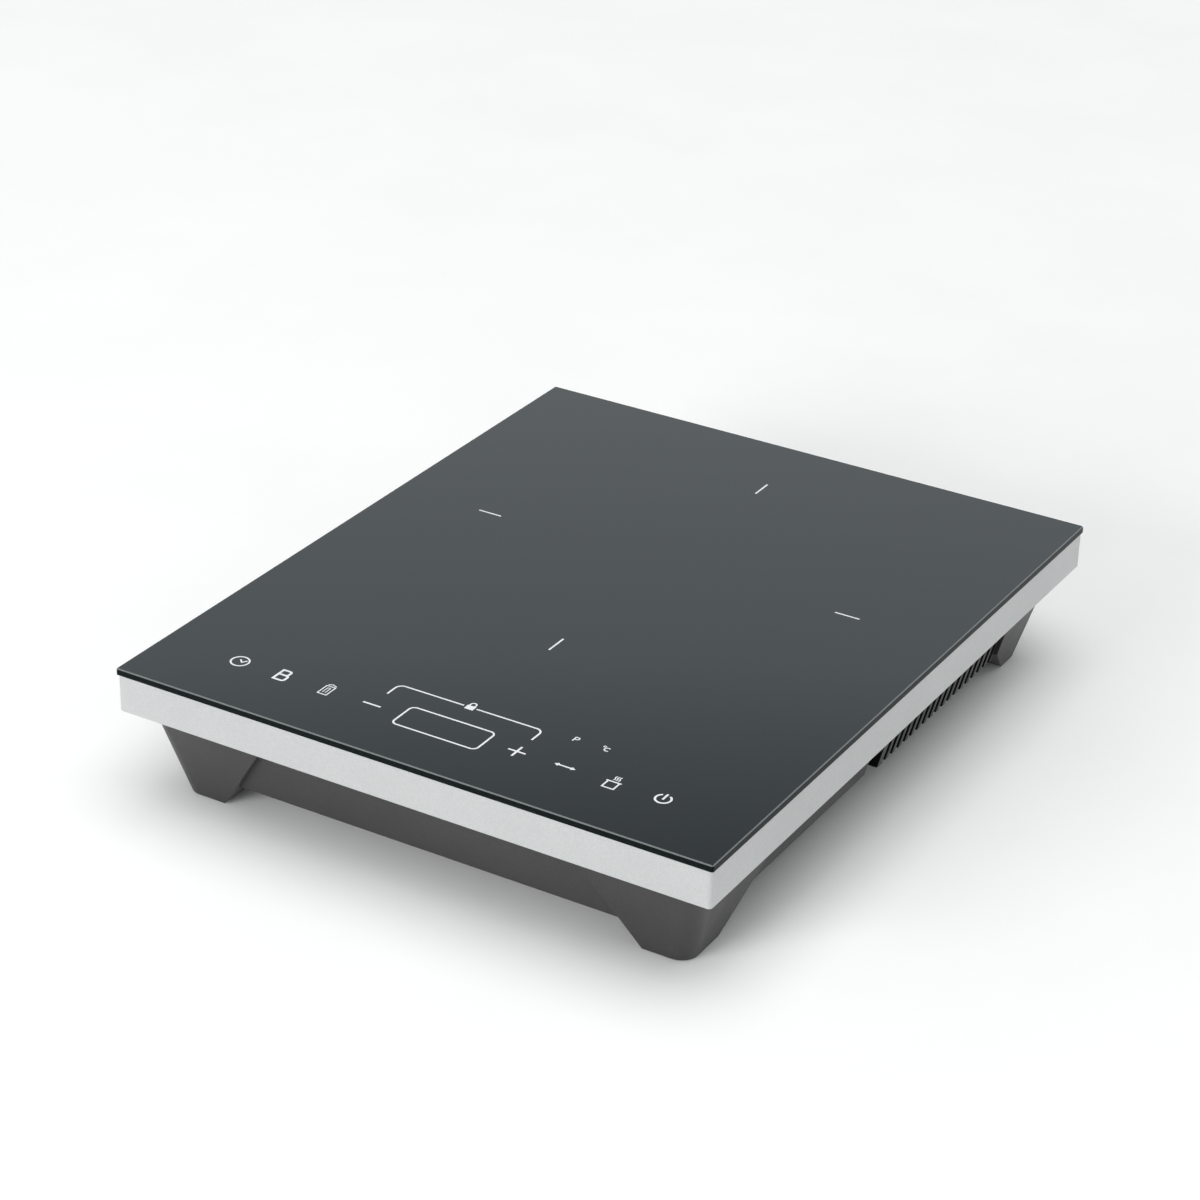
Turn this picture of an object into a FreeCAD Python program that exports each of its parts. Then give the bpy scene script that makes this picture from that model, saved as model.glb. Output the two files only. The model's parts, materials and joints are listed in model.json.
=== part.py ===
import FreeCAD, Part
import math
import os

# Portable single-zone induction cooktop.
# Millimetres. +X right, the key row faces -Y, +Z up.
# Origin: centre of the footprint, on the surface it stands on.

# ---------------------------------------------------------------- outside
WIDTH = 290.0                  # glass, along X
DEPTH = 356.6                  # glass, along Y
HEIGHT = 63.6                  # foot pads to cooking surface
GLASS = 3.0
GLASS_CORNER = 1.2
GLASS_CHAMFER = 0.6
BAND_INSET = 0.5               # silver band, in from the glass edge
BAND_BOTTOM = 43.0
BAND_WALL = 1.5
BAND_CORNER = 2.0
BAND_EDGE = 0.5                # rounding of the band's outer edges
GLASS_FLANGE = 10.0            # flange under the glass
SEAL_WIDTH = 4.0
SEAL_DEPTH = 0.6

# ---------------------------------------------------------------- base housing
FOOT_INSET = 19.5              # leg face in from the glass edge at the floor
TAPER = 0.256                  # leg face leans out by this much per mm of height
LEG_CORNER = 8.0
TIGHT_CORNER = 2.0             # smallest corner of the recessed walls
SHELL = 2.2                    # moulded wall
FLOOR_BOTTOM = 10.5            # underside of the tray between the legs
FLOOR_TOP = FLOOR_BOTTOM + SHELL
WALL_RECESS = 4.0              # plain wall behind the leg faces
LEG_END_X = 40.5               # foot's inner edge from the glass edge, along X
LEG_SLOPE_X = 0.70             # leg widens by this much per mm of height, along X
FRONT_LEG_END = 43.4           # the same along Y, front legs
REAR_LEG_END = 37.8            # the same along Y, rear legs
LEG_SLOPE_Y = 1.07
LEG_BOTTOM = 0.6               # moulding stops above the pads
LEG_SOLE = 4.5                 # sole thickness
PAD_RADIUS = 7.0
PAD_THICKNESS = 2.6

# ---------------------------------------------------------------- side vents
VENT_RECESS = 2.1
VENT_WALL = 1.5
VENT_FRONT = 7.4
VENT_REAR = 125.2
VENT_FLANGE_X = 117.0          # inner edge of the vent's return under the floor
SLOT_PITCH = 6.37
SLOT_WIDTH = 3.5
SLOT_COUNT = 18
FIRST_SLOT = 13.7
SLOT_RETURN_X = 119.0          # slots run this far in under the floor
GROOVE_WIDTH = 8.6             # open groove between the plain wall and the vent
GROOVE_RECESS = 6.5

# ---------------------------------------------------------------- inside layout
ZONE_Y = 36.1                  # centre of the cooking zone
KEY_ROW_Y = -144.6
KEY_XS = (-105.2, -82.4, -59.8, -36.8, 34.3, 57.2, 80.0, 103.0)
FAN_X = -72.0
FAN_Y = 88.0
BOARD_LEFT = -20.0
BOARD_RIGHT = 116.0
BOARD_FRONT = -20.0
BOARD_REAR = 120.0
BOARD_BOTTOM = 18.7
BOARD = 1.6
BOARD_TOP = BOARD_BOTTOM + BOARD
INLET_X = 40.0
INLET_Z = 26.0

HALF_X = WIDTH / 2
HALF_Y = DEPTH / 2
GLASS_BOTTOM = HEIGHT - GLASS
LIP_TOP = BAND_BOTTOM + BAND_WALL
X = FreeCAD.Vector(1, 0, 0)
Y = FreeCAD.Vector(0, 1, 0)
Z = FreeCAD.Vector(0, 0, 1)


# ---------------------------------------------------------------- helpers
def vec(x, y, z):
    return FreeCAD.Vector(x, y, z)


def box(x0, x1, y0, y1, z0, z1):
    return Part.makeBox(x1 - x0, y1 - y0, z1 - z0, vec(x0, y0, z0))


def block(x, y, size_x, size_y, z0, z1):
    """A box centred on x, y."""
    return box(x - size_x / 2, x + size_x / 2, y - size_y / 2, y + size_y / 2, z0, z1)


def rod(x, y, radius, z0, z1):
    return Part.makeCylinder(radius, z1 - z0, vec(x, y, z0), Z)


def tube(x, y, outer, inner, z0, z1):
    return rod(x, y, outer, z0, z1).cut(rod(x, y, inner, z0, z1))


def join(shapes):
    """One solid from overlapping or touching ones."""
    return shapes[0].fuse(tuple(shapes[1:])).removeSplitter()


def group(shapes):
    """Separate solids in one node."""
    solids = []
    for shape in shapes:
        solids.extend(shape.Solids)
    return Part.makeCompound(solids)


def polar(radius, degrees, centre_x=0.0, centre_y=0.0):
    angle = math.radians(degrees)
    return centre_x + radius * math.cos(angle), centre_y + radius * math.sin(angle)


def turned(shape, degrees, centre_x, centre_y):
    copy = shape.copy()
    copy.rotate(vec(centre_x, centre_y, 0), Z, degrees)
    return copy


def rounded_outline(half_x, half_y, radius, z):
    """Closed rounded rectangle at height z."""
    edges = []
    bend = radius * math.sqrt(0.5)
    corners = ((1, 1), (-1, 1), (-1, -1), (1, -1))
    for sx, sy in corners:
        cx = sx * (half_x - radius)
        cy = sy * (half_y - radius)
        on_x = vec(cx + sx * radius, cy, z)
        on_y = vec(cx, cy + sy * radius, z)
        middle = vec(cx + sx * bend, cy + sy * bend, z)
        start, end = (on_x, on_y) if sx * sy > 0 else (on_y, on_x)
        edges.append((start, Part.Arc(start, middle, end).toShape(), end))
    loop = []
    for number, (start, arc, end) in enumerate(edges):
        loop.append(arc)
        loop.append(Part.makeLine(end, edges[(number + 1) % 4][0]))
    return Part.Wire(loop)


def rounded_plate(half_x, half_y, radius, z0, z1):
    return Part.Face(rounded_outline(half_x, half_y, radius, z0)).extrude(vec(0, 0, z1 - z0))


def envelope(recess, z0, z1):
    """Tapered block inside the leg faces, set in by recess."""
    outlines = []
    for z in (z0, z1):
        inset = FOOT_INSET - TAPER * z + recess
        radius = max(LEG_CORNER - recess, TIGHT_CORNER)
        outlines.append(rounded_outline(HALF_X - inset, HALF_Y - inset, radius, z))
    return Part.makeLoft(outlines, True, True)


def prism(points, direction):
    """Extrude a closed polygon of vectors."""
    return Part.Face(Part.makePolygon(list(points) + [points[0]])).extrude(direction)


def bent_path(points, bend):
    """Straight runs joined by tangent arcs of up to the given radius."""
    edges = []
    start = points[0]
    for before, corner, after in zip(points, points[1:], points[2:]):
        back = (before - corner).normalize()
        ahead = (after - corner).normalize()
        half_turn = (math.pi - back.getAngle(ahead)) / 2
        room = 0.45 * min((before - corner).Length, (after - corner).Length)
        trim = min(room, bend * math.tan(half_turn))
        radius = trim / math.tan(half_turn)
        enter = corner + back * trim
        leave = corner + ahead * trim
        middle_way = (back + ahead).normalize()
        centre = corner + middle_way * math.hypot(radius, trim)
        edges.append(Part.makeLine(start, enter))
        edges.append(Part.Arc(enter, centre - middle_way * radius, leave).toShape())
        start = leave
    edges.append(Part.makeLine(start, points[-1]))
    return Part.Wire(edges)


def wire_lead(points, radius, bend=5.0):
    path = bent_path(points, bend)
    along = (points[1] - points[0]).normalize()
    section = Part.Wire([Part.makeCircle(radius, points[0], along)])
    return path.makePipeShell([section], True, False)


def pan_screw(x, y, seat, tip, shank, head_radius, head_height, up=True):
    """Screw with its head on the seat; up is the side the head is on."""
    if up:
        head = rod(x, y, head_radius, seat, seat + head_height)
        drive = box(x - head_radius * 0.7, x + head_radius * 0.7, y - 0.4, y + 0.4,
                    seat + head_height * 0.5, seat + head_height)
        return join([head, rod(x, y, shank, tip, seat)]).cut(drive)
    head = rod(x, y, head_radius, seat - head_height, seat)
    drive = box(x - head_radius * 0.7, x + head_radius * 0.7, y - 0.4, y + 0.4,
                seat - head_height, seat - head_height * 0.5)
    return join([head, rod(x, y, shank, seat, tip)]).cut(drive)


NODES = {}


def node(name, shape):
    NODES[name] = shape


# ---------------------------------------------------------------- glass, seal, band
def make_glass():
    plate = rounded_plate(HALF_X, HALF_Y, GLASS_CORNER, GLASS_BOTTOM, HEIGHT)
    top_edges = []
    for edge in plate.Edges:
        if edge.BoundBox.ZMin > HEIGHT - 0.01:
            top_edges.append(edge)
    node("glass_top", plate.makeChamfer(GLASS_CHAMFER, top_edges))


SEAL_OUT_X = HALF_X - BAND_INSET - 3.0
SEAL_OUT_Y = HALF_Y - BAND_INSET - 3.0


def seal_ring():
    outer = rounded_plate(SEAL_OUT_X, SEAL_OUT_Y, 1.5, GLASS_BOTTOM - SEAL_DEPTH, GLASS_BOTTOM)
    inner = rounded_plate(SEAL_OUT_X - SEAL_WIDTH, SEAL_OUT_Y - SEAL_WIDTH, 1.0,
                          GLASS_BOTTOM - SEAL_DEPTH, GLASS_BOTTOM)
    return outer.cut(inner)


BAND_X = HALF_X - BAND_INSET
BAND_Y = HALF_Y - BAND_INSET
LIP_IN_X = HALF_X - FOOT_INSET + TAPER * BAND_BOTTOM - WALL_RECESS - SHELL
LIP_IN_Y = HALF_Y - FOOT_INSET + TAPER * BAND_BOTTOM - WALL_RECESS - SHELL


def make_band():
    """Channel-section ring: side wall, flange under the glass, lip over the base."""
    outer = rounded_plate(BAND_X, BAND_Y, BAND_CORNER, BAND_BOTTOM, GLASS_BOTTOM)
    rims = []
    for edge in outer.Edges:
        if edge.BoundBox.ZLength < 0.01:
            rims.append(edge)
    outer = outer.makeFillet(BAND_EDGE, rims)
    channel = rounded_plate(BAND_X - BAND_WALL, BAND_Y - BAND_WALL, 0.8, LIP_TOP, GLASS_BOTTOM - BAND_WALL)
    bottom_window = rounded_plate(LIP_IN_X, LIP_IN_Y, 4.0, BAND_BOTTOM - 1, LIP_TOP + 1)
    top_window = rounded_plate(BAND_X - GLASS_FLANGE, BAND_Y - GLASS_FLANGE, 3.0,
                               GLASS_BOTTOM - BAND_WALL - 1, GLASS_BOTTOM + 1)
    seal = seal_ring()
    band = outer.cut((channel, bottom_window, top_window, seal))
    holes = []
    for x, y in rivet_places():
        holes.append(rod(x, y, RIVET_SHANK, BAND_BOTTOM - 1, LIP_TOP + 1))
    node("frame_band", band.cut(tuple(holes)))
    node("glass_seal", seal)


# ---------------------------------------------------------------- screw lugs
LUG_THICK = 2.0
LUG_TOP = LIP_TOP + LUG_THICK
LUG_WIDTH = 22.0
LUG_HOLE = 1.95
RIVET_SHANK = 1.5
RIVET_HEAD = 2.7
LUG_X = 90.0
LUG_Y = 147.0
SIDE_LUG_X = 116.0
SIDE_LUG_Y = -60.0
END_LUGS = ((LUG_X, LUG_Y), (-LUG_X, LUG_Y), (LUG_X, -LUG_Y), (-LUG_X, -LUG_Y))
SIDE_LUGS = ((SIDE_LUG_X, SIDE_LUG_Y), (-SIDE_LUG_X, SIDE_LUG_Y))
RIVET_IN = 5.0                 # rivet line in from the glass edge
RIVET_SPREAD = 6.0


def rivet_places():
    places = []
    for x, y in END_LUGS:
        for offset in (-RIVET_SPREAD, RIVET_SPREAD):
            places.append((x + offset, math.copysign(HALF_Y - RIVET_IN, y)))
    for x, y in SIDE_LUGS:
        for offset in (-RIVET_SPREAD, RIVET_SPREAD):
            places.append((math.copysign(HALF_X - RIVET_IN, x), y + offset))
    return places


def make_lugs():
    gap = 0.3
    lugs = []
    for x, y in END_LUGS:
        near, far = sorted((math.copysign(LUG_Y - 9, y), math.copysign(BAND_Y - BAND_WALL - gap, y)))
        lugs.append(box(x - LUG_WIDTH / 2, x + LUG_WIDTH / 2, near, far, LIP_TOP, LUG_TOP))
    for x, y in SIDE_LUGS:
        near, far = sorted((math.copysign(SIDE_LUG_X - 9, x), math.copysign(BAND_X - BAND_WALL - gap, x)))
        lugs.append(box(near, far, y - LUG_WIDTH / 2, y + LUG_WIDTH / 2, LIP_TOP, LUG_TOP))
    drills = []
    for x, y in END_LUGS + SIDE_LUGS:
        drills.append(rod(x, y, LUG_HOLE, LIP_TOP - 1, LUG_TOP + 1))
    for x, y in rivet_places():
        drills.append(rod(x, y, RIVET_SHANK, LIP_TOP - 1, LUG_TOP + 1))
    node("screw_lugs", group([lug.cut(tuple(drills)) for lug in lugs]))

    rivets = []
    for x, y in rivet_places():
        top = rod(x, y, RIVET_HEAD, LUG_TOP, LUG_TOP + 0.9)
        bottom = rod(x, y, RIVET_HEAD, BAND_BOTTOM - 0.7, BAND_BOTTOM)
        rivets.append(join([top, rod(x, y, RIVET_SHANK, BAND_BOTTOM, LUG_TOP), bottom]))
    node("lug_rivets", group(rivets))

    screws = []
    for x, y in END_LUGS + SIDE_LUGS:
        screws.append(pan_screw(x, y, BOSS_SEAT, LUG_TOP + 1.5, 1.9, 3.4, 2.4, up=False))
    node("housing_screws", group(screws))


# ---------------------------------------------------------------- base housing
BOSS_SEAT = 30.0               # housing screw heads sit this high, in deep counterbores
BOSS_OUTER = 6.0
BOSS_COUNTERBORE = 3.8
BOSS_HOLE = 2.2
COIL_POSTS = (90.0, 200.0, 318.0)      # angles about the zone centre
COIL_POST_RADIUS = 95.0
COIL_POST_TOP = 50.9
HOLDER_POSTS = ((-70.0, -124.0), (70.0, -124.0), (-70.0, -150.0), (70.0, -150.0))
HOLDER_BOTTOM = 46.8
BOARD_POSTS = ((-14.0, -14.0), (110.0, -14.0), (110.0, 114.0), (-14.0, 114.0))
CLAMP_POSTS = ((INLET_X - 10.0, 140.0), (INLET_X + 10.0, 140.0))
CLAMP_POST_TOP = 29.8
CLAMP_BAR = 3.0
FAN_SIZE = 80.0
FAN_HOLE_SPAN = 35.75
FAN_BOTTOM = 15.7
FAN_TOP = FAN_BOTTOM + 25.0
GRILLE_OPENING = 40.0


def leg_blocks(shrink, z0, z1):
    """The four corner wedges that bound the legs, moved outwards by shrink."""
    wedges = []
    slack_x = shrink * math.hypot(1, LEG_SLOPE_X)
    slack_y = shrink * math.hypot(1, LEG_SLOPE_Y)
    far = 60.0
    for sx in (-1, 1):
        low = HALF_X - LEG_END_X + slack_x - LEG_SLOPE_X * z0
        high = HALF_X - LEG_END_X + slack_x - LEG_SLOPE_X * z1
        across = prism((vec(sx * low, -HALF_Y - far, z0), vec(sx * (HALF_X + far), -HALF_Y - far, z0),
                        vec(sx * (HALF_X + far), -HALF_Y - far, z1), vec(sx * high, -HALF_Y - far, z1)),
                       vec(0, DEPTH + 2 * far, 0))
        front_low = HALF_Y - FRONT_LEG_END + slack_y - LEG_SLOPE_Y * z0
        front_high = HALF_Y - FRONT_LEG_END + slack_y - LEG_SLOPE_Y * z1
        front = prism((vec(-HALF_X - far, -front_low, z0), vec(-HALF_X - far, -HALF_Y - far, z0),
                       vec(-HALF_X - far, -HALF_Y - far, z1), vec(-HALF_X - far, -front_high, z1)),
                      vec(WIDTH + 2 * far, 0, 0))
        rear_low = HALF_Y - REAR_LEG_END + slack_y - LEG_SLOPE_Y * z0
        edge_y = VENT_REAR + shrink
        knee = (HALF_Y - REAR_LEG_END + slack_y - edge_y) / LEG_SLOPE_Y
        rear = prism((vec(-HALF_X - far, rear_low, z0), vec(-HALF_X - far, HALF_Y + far, z0),
                      vec(-HALF_X - far, HALF_Y + far, z1), vec(-HALF_X - far, edge_y, z1),
                      vec(-HALF_X - far, edge_y, knee)),
                     vec(WIDTH + 2 * far, 0, 0))
        wedges.append(across.common(front))
        wedges.append(across.common(rear))
    return wedges


def housing_outside():
    outside = [envelope(WALL_RECESS, FLOOR_BOTTOM, BAND_BOTTOM)]
    leg_stock = envelope(0, LEG_BOTTOM, BAND_BOTTOM)
    for wedge in leg_blocks(0, LEG_BOTTOM, BAND_BOTTOM):
        outside.append(leg_stock.common(wedge))
    return join(outside)


def housing_inside():
    inside = [envelope(WALL_RECESS + SHELL, FLOOR_TOP, BAND_BOTTOM)]
    sole = LEG_BOTTOM + LEG_SOLE
    hollow = envelope(SHELL, sole, BAND_BOTTOM)
    for wedge in leg_blocks(SHELL, sole, BAND_BOTTOM):
        inside.append(hollow.common(wedge))
    return join(inside)


def pad_places():
    x = HALF_X - (FOOT_INSET + LEG_END_X) / 2
    front = HALF_Y - (FOOT_INSET + FRONT_LEG_END) / 2
    rear = HALF_Y - (FOOT_INSET + REAR_LEG_END) / 2 - 0.5
    return ((x, -front), (-x, -front), (x, rear), (-x, rear))


def vent_cutters(side):
    """Openings in the housing for one side vent and its groove; side is 1 or -1."""
    low, high = sorted((side * VENT_FLANGE_X, side * (HALF_X + 5)))
    window = box(low, high, VENT_FRONT, VENT_REAR, FLOOR_BOTTOM - 1, BAND_BOTTOM + 1)
    inner_low, inner_high = sorted((side * 60.0, side * (HALF_X + 5)))
    stock = box(inner_low, inner_high, VENT_FRONT - GROOVE_WIDTH, VENT_FRONT,
                FLOOR_BOTTOM - 1, BAND_BOTTOM + 1)
    groove = stock.cut(envelope(GROOVE_RECESS, FLOOR_BOTTOM - 2, BAND_BOTTOM + 2))
    return window, groove


def fan_hole_places():
    places = []
    for sx in (-1, 1):
        for sy in (-1, 1):
            places.append((FAN_X + sx * FAN_HOLE_SPAN, FAN_Y + sy * FAN_HOLE_SPAN))
    return places


def groove_wall(side):
    """The wall at the back of the groove."""
    low, high = sorted((side * 60.0, side * HALF_X))
    outer = envelope(GROOVE_RECESS, FLOOR_BOTTOM, BAND_BOTTOM)
    inner = envelope(GROOVE_RECESS + SHELL, FLOOR_BOTTOM - 1, BAND_BOTTOM + 1)
    front = VENT_FRONT - GROOVE_WIDTH - SHELL
    return outer.cut(inner).common(box(low, high, front, VENT_FRONT, FLOOR_BOTTOM, BAND_BOTTOM))


def make_base():
    shell = housing_outside().cut(housing_inside())
    adds = [groove_wall(1), groove_wall(-1)]
    cuts = []
    for side in (-1, 1):
        cuts.extend(vent_cutters(side))
    shell = shell.cut(tuple(cuts))

    for x, y in END_LUGS + SIDE_LUGS:
        adds.append(rod(x, y, BOSS_OUTER, FLOOR_BOTTOM, LIP_TOP))
    posts = []
    for angle in COIL_POSTS:
        x, y = polar(COIL_POST_RADIUS, angle, 0, ZONE_Y)
        posts.append((x, y, 4.5, COIL_POST_TOP, 1.6, 14.0))
    for x, y in HOLDER_POSTS:
        posts.append((x, y, 4.0, HOLDER_BOTTOM, 1.4, 12.0))
    for x, y in BOARD_POSTS:
        posts.append((x, y, 3.5, BOARD_BOTTOM, 1.3, 6.0))
    for x, y in CLAMP_POSTS:
        posts.append((x, y, 3.5, CLAMP_POST_TOP, 1.3, 10.0))
    for x, y in fan_hole_places():
        posts.append((x, y, 3.5, FAN_BOTTOM, 1.9, 3.0))
    pilots = []
    for x, y, radius, top, pilot, deep in posts:
        adds.append(rod(x, y, radius, FLOOR_TOP - 0.5, top))
        pilots.append(rod(x, y, pilot, top - deep, top + 1))
    adds.append(Part.makeCylinder(11.0, 9.0, vec(INLET_X, INLET_INNER_Y, INLET_Z), Y))
    adds.append(block(INLET_X, 140.0, 10.0, 8.0, FLOOR_TOP - 0.5, INLET_Z - 3.8))
    shell = join([shell] + adds)

    for x, y in END_LUGS + SIDE_LUGS:
        pilots.append(rod(x, y, BOSS_COUNTERBORE, FLOOR_BOTTOM - 1, BOSS_SEAT))
        pilots.append(rod(x, y, BOSS_HOLE, BOSS_SEAT - 1, LIP_TOP + 1))
    for x, y in pad_places():
        pilots.append(rod(x, y, PAD_RADIUS, LEG_BOTTOM - 1, PAD_THICKNESS))
    pilots.append(rod(FAN_X, FAN_Y, GRILLE_OPENING, FLOOR_BOTTOM - 1, FLOOR_TOP + 0.1))
    pilots.append(Part.makeCylinder(INLET_NECK, 20.0, vec(INLET_X, INLET_INNER_Y - 4, INLET_Z), Y))
    node("base_housing", shell.cut(tuple(pilots)))

    pads = []
    for x, y in pad_places():
        pads.append(rod(x, y, PAD_RADIUS, 0, PAD_THICKNESS))
    node("foot_pads", group(pads))


# ---------------------------------------------------------------- side vents, intake grille, cord inlet
def make_vent(side, name):
    low, high = sorted((side * VENT_FLANGE_X, side * HALF_X))
    outer = envelope(VENT_RECESS, FLOOR_BOTTOM, BAND_BOTTOM)
    outer = outer.common(box(low, high, VENT_FRONT, VENT_REAR, FLOOR_BOTTOM, BAND_BOTTOM))
    inner = envelope(VENT_RECESS + VENT_WALL, FLOOR_TOP, BAND_BOTTOM)
    inner_low, inner_high = sorted((side * (VENT_FLANGE_X - 1), side * HALF_X))
    inner = inner.common(box(inner_low, inner_high, VENT_FRONT + SHELL, VENT_REAR - SHELL,
                             FLOOR_TOP, BAND_BOTTOM))
    panel = outer.cut(inner)
    slot_low, slot_high = sorted((side * SLOT_RETURN_X, side * HALF_X))
    slots = []
    for number in range(SLOT_COUNT):
        y = FIRST_SLOT + number * SLOT_PITCH
        slots.append(box(slot_low, slot_high, y - SLOT_WIDTH / 2, y + SLOT_WIDTH / 2,
                         FLOOR_BOTTOM - 1, BAND_BOTTOM - SLOT_HEADROOM))
    node(name, panel.cut(tuple(slots)))


SLOT_HEADROOM = 1.2
GRILLE_FLANGE = 43.5
GRILLE_RING = 2.4
GRILLE_PITCH = 5.4
GRILLE_SPOKES = 6


def make_intake_grille():
    fit = 0.2
    radius = GRILLE_OPENING - fit
    parts = [tube(FAN_X, FAN_Y, radius, radius - GRILLE_RING, FLOOR_BOTTOM, FLOOR_TOP)]
    ring = radius - GRILLE_PITCH
    while ring > GRILLE_PITCH:
        parts.append(tube(FAN_X, FAN_Y, ring, ring - GRILLE_RING, FLOOR_BOTTOM, FLOOR_TOP))
        ring -= GRILLE_PITCH
    parts.append(rod(FAN_X, FAN_Y, ring + 1.5, FLOOR_BOTTOM, FLOOR_TOP))
    for number in range(GRILLE_SPOKES):
        spoke = box(FAN_X, FAN_X + radius - 0.5, FAN_Y - 1.2, FAN_Y + 1.2, FLOOR_BOTTOM, FLOOR_TOP)
        parts.append(turned(spoke, number * 360.0 / GRILLE_SPOKES, FAN_X, FAN_Y))
    parts.append(tube(FAN_X, FAN_Y, GRILLE_FLANGE, radius - GRILLE_RING, FLOOR_TOP, FLOOR_TOP + 1.0))
    parts.append(tube(FAN_X, FAN_Y, GRILLE_OPENING, radius - GRILLE_RING + 0.4,
                      FLOOR_TOP + 0.5, FAN_BOTTOM - 0.2))
    node("intake_grille", join(parts))


INLET_INNER_Y = 156.0
INLET_NECK = 6.0
INLET_BORE = 4.0
INLET_OUTER_Y = INLET_INNER_Y + 9.0


def cylinder_y(radius, y0, y1, x=INLET_X, z=INLET_Z):
    return Part.makeCylinder(radius, y1 - y0, vec(x, y0, z), Y)


def make_cord_inlet():
    flange = cylinder_y(9.0, INLET_OUTER_Y, INLET_OUTER_Y + 2.0)
    neck = cylinder_y(INLET_NECK, INLET_INNER_Y, INLET_OUTER_Y)
    ring = cylinder_y(7.5, INLET_INNER_Y - 1.8, INLET_INNER_Y)
    bore = cylinder_y(INLET_BORE, INLET_INNER_Y - 3, INLET_OUTER_Y + 3)
    node("cord_inlet_bushing", join([flange, neck, ring]).cut(bore))

    bar = block(INLET_X, 140.0, 28.0, 8.0, CLAMP_POST_TOP, CLAMP_POST_TOP + CLAMP_BAR)
    for x, y in CLAMP_POSTS:
        bar = bar.cut(rod(x, y, 1.6, CLAMP_POST_TOP - 1, CLAMP_POST_TOP + CLAMP_BAR + 1))
    node("cord_clamp", bar)


# ---------------------------------------------------------------- coil
COIL_PLATE_BOTTOM = 54.9
COIL_PLATE_TOP = 56.9
COIL_RIM = 86.5
LITZ = 1.5                     # radius of the wound wire
COIL_PITCH = 3.3
COIL_INNER = 23.5
COIL_TURNS = 18
FERRITE_BOTTOM = 50.2
FERRITE_LENGTH = 50.0
FERRITE_WIDTH = 12.0
FERRITE_START = 28.0
FERRITE_ANGLES = tuple(30.0 + 60.0 * number for number in range(6))
LEAD_ANGLE = 60.0


def make_coil_former():
    parts = [rod(0, ZONE_Y, COIL_RIM, COIL_PLATE_BOTTOM, COIL_PLATE_TOP)]
    parts.append(tube(0, ZONE_Y, COIL_RIM, COIL_RIM - 1.5, COIL_PLATE_TOP, 59.5))
    parts.append(tube(0, ZONE_Y, 21.0, 19.5, COIL_PLATE_TOP, 59.5))
    parts.append(tube(0, ZONE_Y, 82.0, 80.0, 51.5, COIL_PLATE_BOTTOM))
    parts.append(tube(0, ZONE_Y, 26.0, 24.0, 51.5, COIL_PLATE_BOTTOM))
    for angle in FERRITE_ANGLES:
        wall = block(FERRITE_START + FERRITE_LENGTH / 2, ZONE_Y, FERRITE_LENGTH + 3.4, FERRITE_WIDTH + 3.4,
                     51.5, COIL_PLATE_BOTTOM)
        wall = wall.cut(block(FERRITE_START + FERRITE_LENGTH / 2, ZONE_Y, FERRITE_LENGTH + 0.4,
                              FERRITE_WIDTH + 0.4, 51.0, COIL_PLATE_BOTTOM))
        parts.append(turned(wall, angle, 0, ZONE_Y))
    for angle in COIL_POSTS:
        ear = box(COIL_RIM - 4, COIL_POST_RADIUS, ZONE_Y - 6.5, ZONE_Y + 6.5,
                  COIL_POST_TOP, COIL_PLATE_BOTTOM)
        ear = join([ear, rod(COIL_POST_RADIUS, ZONE_Y, 6.5, COIL_POST_TOP, COIL_PLATE_BOTTOM)])
        lap = box(COIL_RIM - 6, COIL_RIM - 0.5, ZONE_Y - 6.5, ZONE_Y + 6.5,
                  COIL_POST_TOP, COIL_PLATE_BOTTOM + 1)
        parts.append(turned(join([ear, lap]), angle, 0, ZONE_Y))
    former = join(parts)
    cuts = [rod(0, ZONE_Y, 8.5, 50, 60)]
    for angle in COIL_POSTS:
        x, y = polar(COIL_POST_RADIUS, angle, 0, ZONE_Y)
        cuts.append(rod(x, y, 2.0, 50, 60))
    channel = box(12.0, COIL_RIM + 5, ZONE_Y - 3.0, ZONE_Y + 3.0, 50, COIL_PLATE_BOTTOM)
    cuts.append(turned(channel, LEAD_ANGLE, 0, ZONE_Y))
    inner_x, inner_y = polar(COIL_INNER - 1.0, LEAD_ANGLE, 0, ZONE_Y)
    cuts.append(rod(inner_x, inner_y, 2.2, COIL_PLATE_BOTTOM - 1, COIL_PLATE_TOP + 1))
    node("coil_former", former.cut(tuple(cuts)))

    bars = []
    for angle in FERRITE_ANGLES:
        bar = block(FERRITE_START + FERRITE_LENGTH / 2, ZONE_Y, FERRITE_LENGTH, FERRITE_WIDTH,
                    FERRITE_BOTTOM, COIL_PLATE_BOTTOM)
        bars.append(turned(bar, angle, 0, ZONE_Y))
    node("ferrite_bars", group(bars))

    screws = []
    for angle in COIL_POSTS:
        x, y = polar(COIL_POST_RADIUS, angle, 0, ZONE_Y)
        screws.append(pan_screw(x, y, COIL_PLATE_BOTTOM, COIL_POST_TOP - 9.0, 1.6, 3.4, 2.2))
    node("coil_screws", group(screws))


def make_coil_winding():
    """Flat spiral of half circles about two centres, half a pitch apart."""
    z = COIL_PLATE_TOP + LITZ
    radius = COIL_INNER
    centre = 0.0
    side = 1
    edges = []
    for number in range(2 * COIL_TURNS):
        middle = vec(centre, ZONE_Y, z)
        start = middle + vec(side * radius, 0, 0)
        top = middle + vec(0, side * radius, 0)
        end = middle - vec(side * radius, 0, 0)
        edges.append(Part.Arc(start, top, end).toShape())
        radius += COIL_PITCH / 2
        centre += side * COIL_PITCH / 2
        side = -side
    spiral = Part.Wire(edges)
    section = Part.Wire([Part.makeCircle(LITZ, vec(COIL_INNER, ZONE_Y, z), Y)])
    node("coil_winding", spiral.makePipeShell([section], True, False))
    node("mica_sheet", tube(0, ZONE_Y, 86.0, 9.0, 60.0, 60.4))


TERMINALS = ((34.0, 94.0), (50.0, 94.0))
TERMINAL_TOP = 30.0


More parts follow.
